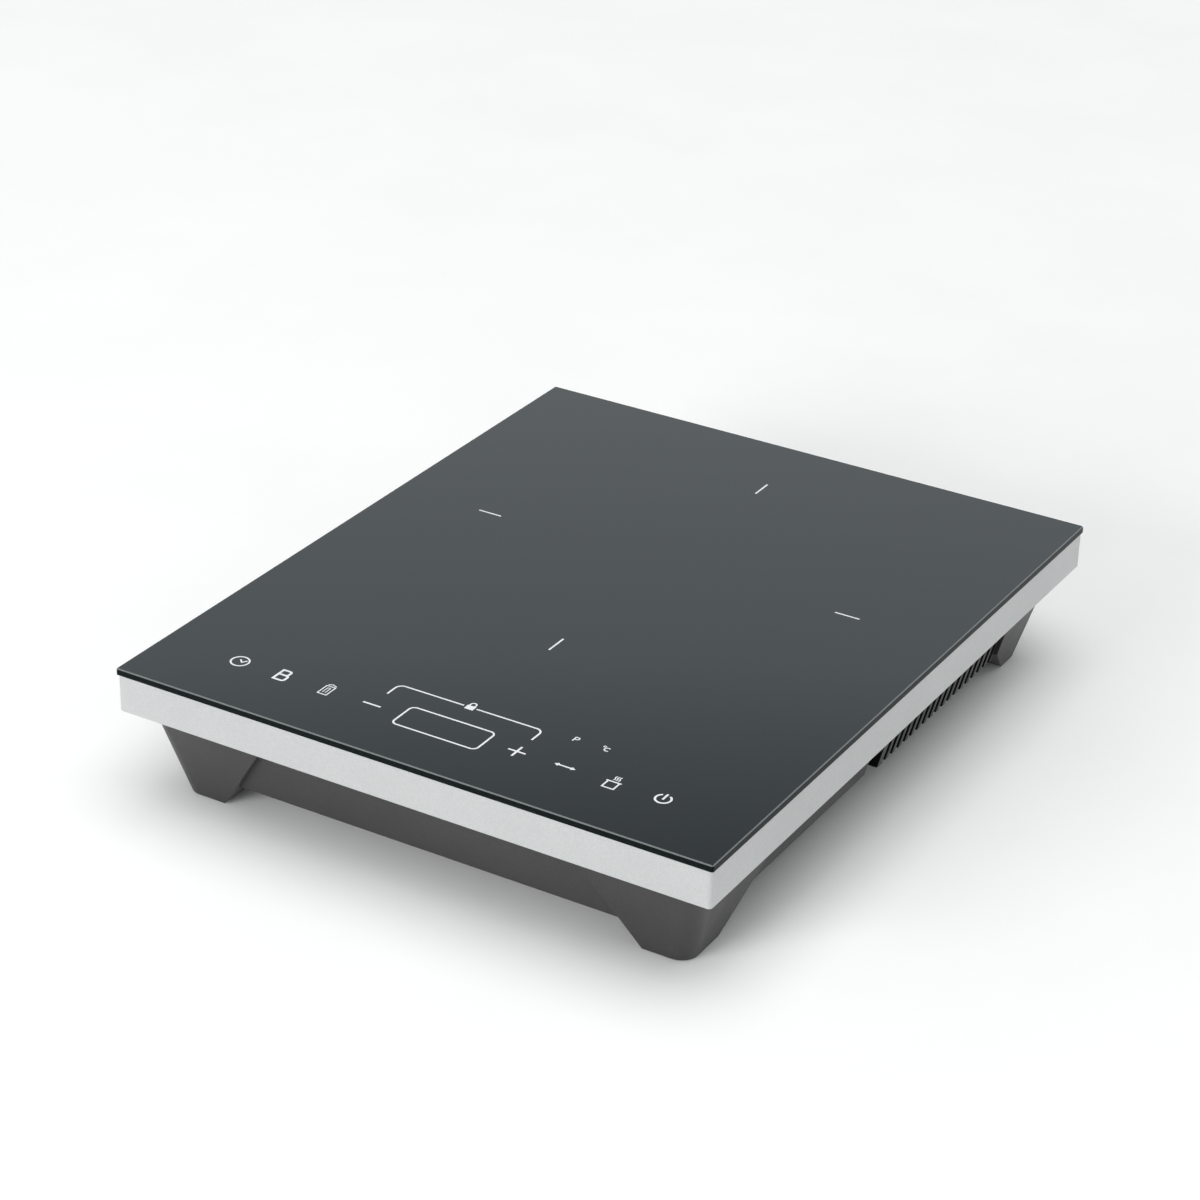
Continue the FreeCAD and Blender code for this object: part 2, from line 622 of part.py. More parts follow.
def make_coil_leads():
    inner_x, inner_y = polar(COIL_INNER - 1.0, LEAD_ANGLE, 0, ZONE_Y)
    rim_x, rim_y = polar(COIL_RIM + 4.0, LEAD_ANGLE + 6.0, 0, ZONE_Y)
    z = 53.0
    first = wire_lead([vec(inner_x, inner_y, COIL_PLATE_TOP - 0.2), vec(inner_x, inner_y, z),
                       vec(TERMINALS[0][0], TERMINALS[0][1], 49.0),
                       vec(TERMINALS[0][0], TERMINALS[0][1], TERMINAL_TOP)], 1.4, 4.0)
    second = wire_lead([vec(rim_x, rim_y, 58.0), vec(rim_x, rim_y, 47.5),
                        vec(TERMINALS[1][0], TERMINALS[1][1], 45.0),
                        vec(TERMINALS[1][0], TERMINALS[1][1], TERMINAL_TOP)], 1.4, 4.0)
    node("coil_leads", group([first, second]))


def make_glass_thermistor():
    """Sensor bead in its silicone holder; gives back its lead."""
    body = join([rod(0, ZONE_Y, 8.3, 52.5, 60.4), rod(0, ZONE_Y, 11.0, 52.5, COIL_PLATE_BOTTOM - 0.1)])
    node("thermistor_holder", body.cut(rod(0, ZONE_Y, 2.0, 52, 58.5)))
    bead = join([rod(0, ZONE_Y, 1.9, 54.0, 56.6), Part.makeSphere(1.9, vec(0, ZONE_Y, 56.6))])
    node("glass_thermistor", bead)
    points = [vec(0, ZONE_Y, 54.0), vec(0, ZONE_Y, 47.6), vec(-14, 40, 44.0), vec(-14, 40, 26.5)]
    return wire_lead(points, 0.9)


# ---------------------------------------------------------------- fan
FAN_BORE = 38.0
ROTOR_BOTTOM = FAN_BOTTOM + 1.5
ROTOR_TOP = FAN_TOP - 4.0
MOUNT_BOTTOM = FAN_TOP - 2.0
HUB_OUTER = 16.5
HUB_INNER = 15.0
BLADE_TIP = 36.9
BLADES = 7
SHAFT = 1.5
SHAFT_CLEARANCE = 0.03
BEARING_OUTER = 3.2
BEARING_BOTTOM = 23.0
BEARING_TOP = 37.0


def make_fan_frame():
    frame = block(FAN_X, FAN_Y, FAN_SIZE, FAN_SIZE, FAN_BOTTOM, FAN_TOP)
    corners = []
    for edge in frame.Edges:
        if edge.BoundBox.ZLength > 1:
            corners.append(edge)
    frame = frame.makeFillet(4.0, corners)
    cuts = [rod(FAN_X, FAN_Y, FAN_BORE, FAN_BOTTOM - 1, FAN_TOP + 1)]
    for x, y in fan_hole_places():
        cuts.append(rod(x, y, 2.1, FAN_BOTTOM - 1, FAN_TOP + 1))
    frame = frame.cut(tuple(cuts))
    parts = [frame, rod(FAN_X, FAN_Y, 16.0, MOUNT_BOTTOM, FAN_TOP)]
    for angle in (20.0, 110.0, 200.0, 290.0):
        strut = box(FAN_X + 14, FAN_X + FAN_BORE + 0.6, FAN_Y - 1.4, FAN_Y + 1.4, FAN_TOP - 3.0, FAN_TOP)
        parts.append(turned(strut, angle, FAN_X, FAN_Y))
    parts.append(tube(FAN_X, FAN_Y, 4.6, BEARING_OUTER, 22.0, MOUNT_BOTTOM + 0.5))
    node("fan_frame", join(parts))
    node("fan_bearing", tube(FAN_X, FAN_Y, BEARING_OUTER, SHAFT + SHAFT_CLEARANCE,
                             BEARING_BOTTOM, BEARING_TOP))

    screws = []
    for x, y in fan_hole_places():
        screws.append(pan_screw(x, y, FAN_TOP, FLOOR_TOP + 0.4, 1.85, 3.4, 2.2))
    node("fan_screws", group(screws))


def blade_section(x, chord, pitch, thick, z):
    """Thin rectangle facing +X, leaning by the pitch angle."""
    angle = math.radians(pitch)
    along = vec(0, math.cos(angle), math.sin(angle)) * (chord / 2)
    across = vec(0, -math.sin(angle), math.cos(angle)) * (thick / 2)
    centre = vec(FAN_X + x, FAN_Y, z)
    corners = [centre + along + across, centre - along + across,
               centre - along - across, centre + along - across]
    return Part.makePolygon(corners + [corners[0]])


def make_fan_rotor():
    middle = (ROTOR_BOTTOM + ROTOR_TOP) / 2 + 0.3
    blade = Part.makeLoft([blade_section(13.0, 20.0, 46.0, 1.6, middle),
                           blade_section(38.5, 25.0, 30.0, 1.2, middle)], True, True)
    blade = blade.common(rod(FAN_X, FAN_Y, BLADE_TIP, FAN_BOTTOM, FAN_TOP))
    blade = blade.cut(rod(FAN_X, FAN_Y, (HUB_OUTER + HUB_INNER) / 2, FAN_BOTTOM, FAN_TOP))
    parts = [rod(FAN_X, FAN_Y, HUB_OUTER, ROTOR_BOTTOM, ROTOR_BOTTOM + 1.5)]
    parts.append(tube(FAN_X, FAN_Y, HUB_OUTER, HUB_INNER, ROTOR_BOTTOM, ROTOR_TOP))
    parts.append(rod(FAN_X, FAN_Y, 3.0, ROTOR_BOTTOM + 1.0, ROTOR_BOTTOM + 4.0))
    for number in range(BLADES):
        parts.append(turned(blade, number * 360.0 / BLADES, FAN_X, FAN_Y))
    shaft = rod(FAN_X, FAN_Y, SHAFT, ROTOR_BOTTOM + 1.0, BEARING_TOP + 0.5)
    node("fan_rotor", join(parts).cut(shaft))
    node("fan_shaft", shaft)
    node("fan_magnet", tube(FAN_X, FAN_Y, HUB_INNER, 13.4, 22.5, 35.5))


def make_fan_stator():
    """Four-pole core on the bearing tube, a winding on each pole, and the drive board above."""
    core = tube(FAN_X, FAN_Y, 6.6, 4.6, 26.0, 32.0)
    shoe = tube(FAN_X, FAN_Y, 12.6, 11.0, 26.0, 32.0)
    parts = [core]
    windings = []
    for number in range(4):
        angle = number * 90.0
        arm = box(FAN_X + 6.0, FAN_X + 11.5, FAN_Y - 1.5, FAN_Y + 1.5, 26.0, 32.0)
        keep = box(FAN_X + 7.5, FAN_X + 14, FAN_Y - 7.0, FAN_Y + 7.0, 26.0, 32.0)
        parts.append(turned(arm, angle, FAN_X, FAN_Y))
        parts.append(turned(shoe.common(keep), angle, FAN_X, FAN_Y))
        winding = box(FAN_X + 7.1, FAN_X + 10.2, FAN_Y - 3.4, FAN_Y + 3.4, 24.2, 33.8)
        winding = winding.cut(box(FAN_X + 7, FAN_X + 11, FAN_Y - 1.5, FAN_Y + 1.5, 26.0, 32.0))
        windings.append(turned(winding, angle, FAN_X, FAN_Y))
    node("fan_stator_core", join(parts))
    node("fan_windings", group(windings))
    node("fan_motor_board", tube(FAN_X, FAN_Y, 12.8, 4.6, 36.0, 37.0))


def make_fan_lead():
    points = [vec(FAN_X + 16.2, FAN_Y, FAN_TOP - 0.9), vec(-42, 88, FAN_TOP + 2.5),
              vec(-28, 90, FAN_TOP + 1.0), vec(-14, 95, 35.0), vec(-14, 95, 26.5)]
    return wire_lead(points, 0.9)


# ---------------------------------------------------------------- power board
SINK_LEFT = 62.0
SINK_RIGHT = 114.0
SINK_FRONT = 22.0
SINK_REAR = 110.0
SINK_BOTTOM = BOARD_TOP + 0.3
SINK_TOP = 44.6
SINK_WALL = 4.0
FIN = 1.3
FIN_PITCH = 5.2


def board_holes(places, radius):
    return tuple(rod(x, y, radius, BOARD_BOTTOM - 1, BOARD_TOP + 1) for x, y in places)


def make_power_board():
    board = box(BOARD_LEFT, BOARD_RIGHT, BOARD_FRONT, BOARD_REAR, BOARD_BOTTOM, BOARD_TOP)
    node("power_board", board.cut(board_holes(BOARD_POSTS, 1.6)))
    screws = []
    for x, y in BOARD_POSTS:
        screws.append(pan_screw(x, y, BOARD_TOP, BOARD_BOTTOM - 5.0, 1.3, 2.8, 1.8))
    for x, y in CLAMP_POSTS:
        screws.append(pan_screw(x, y, CLAMP_POST_TOP + CLAMP_BAR, CLAMP_POST_TOP - 5.0, 1.3, 2.8, 1.8))
    node("board_and_clamp_screws", group(screws))


def make_heatsink():
    parts = [box(SINK_LEFT, SINK_RIGHT, SINK_FRONT, SINK_REAR, SINK_BOTTOM, SINK_BOTTOM + 3.0)]
    parts.append(box(SINK_LEFT, SINK_RIGHT, SINK_FRONT, SINK_FRONT + SINK_WALL, SINK_BOTTOM, SINK_TOP))
    y = SINK_FRONT + SINK_WALL + FIN_PITCH - FIN
    while y < SINK_REAR - FIN:
        parts.append(box(SINK_LEFT, SINK_RIGHT, y, y + FIN, SINK_BOTTOM, SINK_TOP))
        y += FIN_PITCH
    sink = join(parts)
    cuts = []
    screws = []
    for x in (IGBT_X, BRIDGE_X):
        cuts.append(Part.makeCylinder(1.5, 6.0, vec(x, SINK_FRONT - 1, 38.0), Y))
        head = Part.makeCylinder(2.8, 1.8, vec(x, SINK_FRONT - PACKAGE - 1.8, 38.0), Y)
        shank = Part.makeCylinder(1.45, PACKAGE + 4.5, vec(x, SINK_FRONT - PACKAGE, 38.0), Y)
        screws.append(join([head, shank]))
    node("heatsink", sink.cut(tuple(cuts)))
    node("heatsink_screws", group(screws))
    tab = box(SINK_LEFT - 3.0, SINK_LEFT, 27.0, 33.0, BOARD_TOP + 2, BOARD_TOP + 12)
    bead = Part.makeSphere(1.8, vec(SINK_LEFT - 3.0, 30.0, BOARD_TOP + 9))
    legs = block(SINK_LEFT - 1.5, 30.0, 0.6, 2.6, BOARD_TOP, BOARD_TOP + 2.5)
    node("heatsink_thermistor", join([tab, bead, legs]))


IGBT_X = 76.0
BRIDGE_X = 99.0
PACKAGE = 5.0


def power_package(x, wide, bottom, top, legs):
    """Flat-backed package standing against the heatsink's front wall, with legs down to the board."""
    y = SINK_FRONT - PACKAGE
    body = box(x - wide / 2, x + wide / 2, y, SINK_FRONT, bottom, top)
    body = body.cut(Part.makeCylinder(1.6, 8.0, vec(x, y - 1, 38.0), Y))
    parts = [body]
    for number in range(legs):
        leg_x = x + (number - (legs - 1) / 2) * 5.0
        parts.append(block(leg_x, y + 2.2, 1.2, 0.7, BOARD_TOP, bottom + 0.5))
    return join(parts)


def make_power_semiconductors():
    node("igbt", power_package(IGBT_X, 15.8, 24.0, 44.0, 3))
    node("bridge_rectifier", power_package(BRIDGE_X, 22.0, 25.0, 43.0, 4))


def film_capacitor(x0, x1, y0, y1, top):
    """Box capacitor with rounded edges and two legs."""
    body = box(x0, x1, y0, y1, BOARD_TOP + 0.4, top)
    body = body.makeFillet(1.2, body.Edges)
    middle = (y0 + y1) / 2
    parts = [body]
    for x in (x0 + 4, x1 - 4):
        parts.append(block(x, middle, 1.0, 1.0, BOARD_TOP, BOARD_TOP + 2))
    return join(parts)


def make_capacitors():
    node("filter_capacitor", film_capacitor(-8.0, 24.0, 62.0, 80.0, 45.0))
    node("resonance_capacitor", film_capacitor(-8.0, 24.0, 84.0, 104.0, 45.0))
    node("suppression_capacitor", film_capacitor(29.0, 55.0, 44.0, 54.0, 38.5))
    cans = []
    for x, y, radius, top in ((6.0, 30.0, 5.0, 37.0), (6.0, 45.0, 4.0, 32.5), (18.0, 30.0, 4.0, 32.5)):
        can = rod(x, y, radius, BOARD_TOP, top)
        groove = Part.makeTorus(radius, 0.5, vec(x, y, BOARD_TOP + 2.2), Z)
        vent = box(x - radius * 0.7, x + radius * 0.7, y - 0.2, y + 0.2, top - 0.3, top)
        cans.append(can.cut((groove, vent)))
    node("electrolytic_capacitors", group(cans))


def make_magnetics():
    """Toroidal line choke lying on its base, and the small supply transformer."""
    x, y, ring, thick = 40.0, 74.0, 9.5, 4.2
    core = Part.makeTorus(ring, thick, vec(x, y, BOARD_TOP + 5.6), Z)
    node("line_choke", join([core, tube(x, y, 12.5, 6.0, BOARD_TOP, BOARD_TOP + 3.0)]))
    core = block(35.0, 28.0, 16.0, 14.0, 24.0, 36.0)
    winding = block(35.0, 28.0, 9.0, 18.0, 22.5, 37.5)
    base = block(35.0, 28.0, 18.0, 18.0, BOARD_TOP, 23.0)
    node("transformer", join([core, winding, base]))


def make_small_parts():
    fuse_z = BOARD_TOP + 5.0
    glass = Part.makeCylinder(2.5, 20.0, vec(0.0, 112.5, fuse_z), X)
    node("fuse", glass)
    clips = []
    for x in (2.5, 17.5):
        clip = block(x, 112.5, 4.0, 7.0, BOARD_TOP, fuse_z + 1.0)
        clips.append(clip.cut(Part.makeCylinder(2.5, 8.0, vec(x - 4, 112.5, fuse_z), X)))
    node("fuse_clips", group(clips))

    disc = Part.makeCylinder(7.0, 4.0, vec(54.0, 110.5, BOARD_TOP + 9.5), X)
    node("varistor", join([disc.makeFillet(1.2, disc.Edges[:1] + disc.Edges[2:]),
                           block(56.0, 108.0, 0.8, 0.8, BOARD_TOP, BOARD_TOP + 5),
                           block(56.0, 113.0, 0.8, 0.8, BOARD_TOP, BOARD_TOP + 5)]))
    can = rod(-8.0, 10.0, 6.0, BOARD_TOP, BOARD_TOP + 8.5)
    node("buzzer", can.cut(rod(-8.0, 10.0, 1.2, BOARD_TOP + 5, BOARD_TOP + 9)))

    chips = []
    for x, y, long, wide in ((20.0, 4.0, 12.5, 7.5), (44.0, 4.0, 10.0, 4.0), (60.0, 6.0, 5.0, 4.0)):
        chips.append(block(x, y, long, wide, BOARD_TOP + 0.1, BOARD_TOP + 2.2))
    node("driver_chips", group(chips))

    terminals = []
    for x, y in TERMINALS:
        post = rod(x, y, 3.4, BOARD_TOP, TERMINAL_TOP - 2.2)
        terminals.append(join([post, rod(x, y, 4.2, TERMINAL_TOP - 2.2, TERMINAL_TOP)]))
    node("coil_terminals", group(terminals))

    mains = block(INLET_X, 113.0, 22.0, 10.0, BOARD_TOP, BOARD_TOP + 11.0)
    for x in (INLET_X - 5.5, INLET_X + 5.5):
        mains = mains.cut(rod(x, 113.0, 2.2, BOARD_TOP + 6, BOARD_TOP + 12))
        mains = mains.cut(Part.makeCylinder(1.8, 6.0, vec(x, 113.5, BOARD_TOP + 4.0), Y))
    node("mains_terminal_block", mains)

    plugs = [block(-14.0, 40.0, 7.0, 6.0, BOARD_TOP, 26.5),
             block(-14.0, 95.0, 7.0, 6.0, BOARD_TOP, 26.5),
             block(30.0, -14.0, 22.0, 6.0, BOARD_TOP, 27.5),
             block(30.0, -123.0, 22.0, 6.0, CONTROL_BOTTOM - 6.0, CONTROL_BOTTOM)]
    node("board_connectors", group(plugs))


# ---------------------------------------------------------------- control board under the keys
HOLDER_TOP = HOLDER_BOTTOM + 1.6
CONTROL_BOTTOM = HOLDER_TOP + 1.0
CONTROL_TOP = CONTROL_BOTTOM + 1.6
CONTROL_HALF = 113.0
CONTROL_FRONT = -165.0
CONTROL_REAR = -119.0
DISPLAY_LEFT = -20.6
DISPLAY_RIGHT = 18.0
DISPLAY_FRONT = -152.5
DISPLAY_REAR = -137.0
LAMPS = ((49.9, -122.7), (63.7, -123.0), (-0.9, -124.0))
SPRING_WIRE = 0.35
SPRING_FACETS = 12


def make_control_holder():
    plate = box(-CONTROL_HALF - 2.5, CONTROL_HALF + 2.5, CONTROL_FRONT - 2.0, CONTROL_REAR + 2.0,
                HOLDER_BOTTOM, HOLDER_TOP)
    rim_out = box(-CONTROL_HALF - 2.5, CONTROL_HALF + 2.5, CONTROL_FRONT - 2.0, CONTROL_REAR + 2.0,
                  HOLDER_TOP, CONTROL_TOP + 1.0)
    rim_in = box(-CONTROL_HALF - 0.5, CONTROL_HALF + 0.5, CONTROL_FRONT - 0.4, CONTROL_REAR + 0.4,
                 HOLDER_TOP - 1, CONTROL_TOP + 2.0)
    parts = [plate, rim_out.cut(rim_in)]
    for x, y in HOLDER_POSTS:
        parts.append(rod(x, y, 3.5, HOLDER_TOP - 0.5, CONTROL_BOTTOM))
    holder = join(parts)
    cuts = []
    for x, y in HOLDER_POSTS:
        cuts.append(rod(x, y, 1.7, HOLDER_BOTTOM - 1, CONTROL_TOP + 1))
    for x, y in END_LUGS[2:]:
        cuts.append(rod(x, y, 4.0, HOLDER_BOTTOM - 1, HOLDER_TOP + 1))
    cuts.append(box(16.0, 44.0, -131.0, CONTROL_REAR + 3, HOLDER_BOTTOM - 1, CONTROL_TOP + 2))
    for x in (-100.0, -48.0, 100.0):
        cuts.append(block(x, -133.0, 18.0, 12.0, HOLDER_BOTTOM - 1, HOLDER_TOP + 1))
    node("control_board_holder", holder.cut(tuple(cuts)))


def make_control_board():
    board = box(-CONTROL_HALF, CONTROL_HALF, CONTROL_FRONT, CONTROL_REAR, CONTROL_BOTTOM, CONTROL_TOP)
    holes = []
    screws = []
    for x, y in HOLDER_POSTS:
        holes.append(rod(x, y, 1.7, CONTROL_BOTTOM - 1, CONTROL_TOP + 1))
        screws.append(pan_screw(x, y, CONTROL_TOP, HOLDER_BOTTOM - 9.0, 1.4, 2.8, 1.8))
    node("control_board", board.cut(tuple(holes)))
    node("control_screws", group(screws))

    body = box(DISPLAY_LEFT, DISPLAY_RIGHT, DISPLAY_FRONT, DISPLAY_REAR, CONTROL_TOP, 59.6)
    digit = (DISPLAY_RIGHT - DISPLAY_LEFT) / 4
    for number in range(4):
        x = DISPLAY_LEFT + digit * (number + 0.5)
        body = body.cut(block(x, (DISPLAY_FRONT + DISPLAY_REAR) / 2, digit - 2.4, 12.5, 59.3, 60))
    node("display_module", body)

    lamps = []
    tubes = []
    for x, y in LAMPS:
        lamps.append(block(x, y, 3.0, 1.6, CONTROL_TOP, CONTROL_TOP + 1.4))
        tubes.append(tube(x, y, 3.0, 2.2, CONTROL_TOP, 60.3))
    node("indicator_lamps", group(lamps))
    node("light_tubes", group(tubes))


def make_touch_springs():
    """One coil spring per key, between the control board and the glass."""
    radius = 3.6
    free = 60.4 - CONTROL_TOP - 2 * SPRING_WIRE
    helix = Part.makeHelix(free / 5, free, radius)
    corners = []
    for number in range(SPRING_FACETS + 1):
        across, up = polar(SPRING_WIRE, number * 360.0 / SPRING_FACETS)
        corners.append(vec(radius + across, 0, up))
    coil = helix.makePipeShell([Part.makePolygon(corners)], True, True)
    springs = []
    for x in KEY_XS:
        spring = coil.copy()
        spring.translate(vec(x, KEY_ROW_Y, CONTROL_TOP + SPRING_WIRE))
        springs.append(spring)
    node("touch_springs", group(springs))


def make_ribbon_cable():
    """Flat cable from the power board up to the control board."""
    half = 9.0
    points = [vec(30, -14, 27.5), vec(30, -14, 35.0), vec(30, -106, 40.0),
              vec(30, -112, 46.0), vec(30, -120, 46.0)]
    path = bent_path(points, 4.0)
    corners = [vec(30 - half, -14.5, 27.5), vec(30 + half, -14.5, 27.5),
               vec(30 + half, -13.5, 27.5), vec(30 - half, -13.5, 27.5)]
    section = Part.makePolygon(corners + [corners[0]])
    node("ribbon_cable", path.makePipeShell([section], True, False))


# ---------------------------------------------------------------- build and write
def main():
    make_glass()
    make_band()
    make_lugs()
    make_base()
    make_vent(1, "side_vent_right")
    make_vent(-1, "side_vent_left")
    make_intake_grille()
    make_cord_inlet()
    make_coil_former()
    make_coil_winding()
    make_coil_leads()
    leads = [make_glass_thermistor()]
    make_fan_frame()
    make_fan_rotor()
    make_fan_stator()
    leads.append(make_fan_lead())
    node("signal_leads", group(leads))
    make_power_board()
    make_heatsink()
    make_power_semiconductors()
    make_capacitors()
    make_magnetics()
    make_small_parts()
    make_control_holder()
    make_control_board()
    make_touch_springs()
    make_ribbon_cable()
    os.makedirs("parts", exist_ok=True)
    for name, shape in NODES.items():
        print(name, len(shape.Solids), "valid" if shape.isValid() else "NOT VALID", round(shape.Volume, 1))
        shape.exportStep(os.path.join("parts", name + ".step"))
    print(len(NODES), "nodes")


main()
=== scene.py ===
import json
import math

import bmesh
import bpy
from mathutils import Matrix, Vector


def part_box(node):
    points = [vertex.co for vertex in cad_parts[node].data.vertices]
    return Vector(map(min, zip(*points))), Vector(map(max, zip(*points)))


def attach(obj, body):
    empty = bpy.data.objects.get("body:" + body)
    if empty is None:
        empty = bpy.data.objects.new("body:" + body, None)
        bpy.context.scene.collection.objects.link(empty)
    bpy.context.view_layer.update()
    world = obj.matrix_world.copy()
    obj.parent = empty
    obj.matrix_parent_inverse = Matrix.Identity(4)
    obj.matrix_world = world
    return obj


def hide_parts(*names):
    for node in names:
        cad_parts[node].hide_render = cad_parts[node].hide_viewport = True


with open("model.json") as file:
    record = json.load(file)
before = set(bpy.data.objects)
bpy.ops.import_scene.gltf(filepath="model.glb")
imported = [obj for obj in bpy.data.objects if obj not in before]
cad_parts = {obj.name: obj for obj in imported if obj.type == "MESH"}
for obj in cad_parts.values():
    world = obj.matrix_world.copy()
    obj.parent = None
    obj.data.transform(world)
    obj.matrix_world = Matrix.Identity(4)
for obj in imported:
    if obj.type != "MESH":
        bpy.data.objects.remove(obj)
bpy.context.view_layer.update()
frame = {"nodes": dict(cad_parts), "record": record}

MM = 0.001
NODES = frame["nodes"]

# ---------------------------------------------------------------- camera
CAMERA_PLACE = Vector((0.6506, -1.1421, 0.7422))
CAMERA_AZIMUTH = math.radians(30.12)
CAMERA_ELEVATION = math.radians(27.43)
CAMERA_ROLL = math.radians(1.54)
LENS = 99.6


def make_camera():
    away = Vector((math.sin(CAMERA_AZIMUTH) * math.cos(CAMERA_ELEVATION),
                   -math.cos(CAMERA_AZIMUTH) * math.cos(CAMERA_ELEVATION),
                   math.sin(CAMERA_ELEVATION)))
    right = Vector((math.cos(CAMERA_AZIMUTH), math.sin(CAMERA_AZIMUTH), 0))
    up = away.cross(right)
    rolled_right = right * math.cos(CAMERA_ROLL) + up * math.sin(CAMERA_ROLL)
    rolled_up = up * math.cos(CAMERA_ROLL) - right * math.sin(CAMERA_ROLL)
    data = bpy.data.cameras.new("camera")
    data.lens = LENS
    data.sensor_width = 36.0
    data.clip_start = 0.01
    camera = bpy.data.objects.new("camera", data)
    turn = Matrix((rolled_right, rolled_up, away)).transposed().to_4x4()
    camera.matrix_world = Matrix.Translation(CAMERA_PLACE) @ turn
    bpy.context.scene.collection.objects.link(camera)
    bpy.context.scene.camera = camera


# ---------------------------------------------------------------- node helpers
MATERIALS = {}


class Shader:
    """A principled material on object coordinates, with short calls for its nodes."""

    def __init__(self, name, **sockets):
        self.material = bpy.data.materials.new(name)
        self.material.use_nodes = True
        MATERIALS[name] = self.material
        self.tree = self.material.node_tree
        self.bsdf = self.tree.nodes["Principled BSDF"]
        self.coords = self.tree.nodes.new("ShaderNodeTexCoord").outputs["Object"]
        for socket, value in sockets.items():
            self.bsdf.inputs[socket.replace("_", " ")].default_value = value

    def add(self, kind, **inputs):
        """New node, with its inputs named as in its sockets and spaces as underscores."""
        made = self.tree.nodes.new(kind)
        for name, value in inputs.items():
            self.feed(made.inputs[name.replace("_", " ")], value)
        return made

    def feed(self, socket, value):
        if isinstance(value, bpy.types.NodeSocket):
            self.tree.links.new(value, socket)
        else:
            socket.default_value = value

    def set(self, socket, value):
        """Feeds one of the principled shader's own sockets."""
        self.feed(self.bsdf.inputs[socket], value)

    def moved(self, scale, turn=(0, 0, 0)):
        """Object coordinates, turned and then stretched or flattened."""
        made = self.add("ShaderNodeMapping", Vector=self.coords)
        made.inputs["Scale"].default_value = scale
        made.inputs["Rotation"].default_value = turn
        return made.outputs[0]

    def noise(self, size_mm, detail=3.0, rough=0.5, vector=None):
        """Noise whose largest spots are about size_mm across."""
        made = self.add("ShaderNodeTexNoise", Vector=vector or self.coords, Scale=1000.0 / size_mm,
                        Detail=detail, Roughness=rough)
        return made.outputs[0]

    def ramp(self, source, *stops):
        """Stops are (place, value) with a value that is a number or a colour."""
        made = self.add("ShaderNodeValToRGB", Fac=source)
        points = made.color_ramp.elements
        while len(points) < len(stops):
            points.new(0.5)
        for point, (place, value) in zip(points, stops):
            point.position = place
            colour = value if isinstance(value, tuple) else (value, value, value)
            point.color = tuple(colour) + (1.0,)
        return made.outputs[0]

    def math(self, how, first, second=0.0, third=0.0):
        made = self.tree.nodes.new("ShaderNodeMath")
        made.operation = how
        for socket, value in zip(made.inputs, (first, second, third)):
            self.feed(socket, value)
        return made.outputs[0]

    def mix(self, share, first, second):
        made = self.tree.nodes.new("ShaderNodeMix")
        made.data_type = "RGBA"
        sockets = [s for s in made.inputs if s.type == "RGBA"]
        self.feed(made.inputs[0], share)
        for socket, value in zip(sockets, (first, second)):
            self.feed(socket, value if isinstance(value, bpy.types.NodeSocket) else tuple(value) + (1.0,))
        return [s for s in made.outputs if s.type == "RGBA"][0]

    def scaled(self, colour, factor):
        """Colour times a grey factor."""
        made = self.add("ShaderNodeVectorMath")
        made.operation = "MULTIPLY"
        self.feed(made.inputs[0], colour)
        self.feed(made.inputs[1], factor)
        return made.outputs[0]

    def bump(self, height, depth_mm, strength=1.0, normal=None):
        made = self.add("ShaderNodeBump", Height=height, Strength=strength, Distance=depth_mm * MM)
        if normal is not None:
            self.feed(made.inputs["Normal"], normal)
        return made.outputs[0]

    def axis(self, name, vector=None):
        made = self.add("ShaderNodeSeparateXYZ", Vector=vector or self.coords)
        return made.outputs[name]

    def soft_edge(self, radius_mm):
        """Normal that rounds the edges off."""
        made = self.tree.nodes.new("ShaderNodeBevel")
        made.samples = 4
        made.inputs["Radius"].default_value = radius_mm * MM
        return made.outputs[0]

    def edge_mask(self, radius_mm):
        """Near 1 on convex and concave edges."""
        turned = self.add("ShaderNodeVectorMath", Vector=self.soft_edge(radius_mm))
        turned.operation = "DOT_PRODUCT"
        flat = self.tree.nodes.new("ShaderNodeNewGeometry")
        self.feed(turned.inputs[1], flat.outputs["True Normal"])
        return self.ramp(turned.outputs["Value"], (0.80, 1.0), (0.985, 0.0))


def varied(shader, first, second, size_mm):
    """Base colour that drifts between two close colours."""
    shader.set("Base Color", shader.ramp(shader.noise(size_mm, 4.0, 0.55), (0.35, first), (0.65, second)))


def moulded(name, first, second, rough, grain_mm=0.45, depth_mm=0.012, edge_mm=0.0):
    """Injection-moulded plastic with a fine eroded grain."""
    shader = Shader(name, IOR=1.49)
    varied(shader, first, second, 40.0)
    drift = shader.noise(11.0, 5.0, 0.6)
    shader.set("Roughness", shader.ramp(drift, (0.3, rough - 0.06), (0.7, rough + 0.06)))
    base = shader.soft_edge(edge_mm) if edge_mm else None
    shader.set("Normal", shader.bump(shader.noise(grain_mm, 3.0, 0.6), depth_mm, 0.6, base))
    return shader


def metal(name, colour, dull, rough, grain=(1, 1, 1)):
    """Bare or plated metal with a directional grain and dull patches."""
    shader = Shader(name, Metallic=1.0)
    stretched = shader.moved(scale=grain)
    streak = shader.noise(0.5, 4.0, 0.6, stretched)
    patch = shader.noise(14.0, 4.0, 0.6)
    shade = shader.math("MULTIPLY_ADD", streak, 0.5, shader.math("MULTIPLY", patch, 0.5))
    shader.set("Base Color", shader.ramp(shade, (0.35, dull), (0.62, colour)))
    shader.set("Roughness", shader.ramp(shade, (0.3, rough + 0.08), (0.7, rough - 0.05)))
    shader.set("Normal", shader.bump(streak, 0.004, 0.5))
    return shader


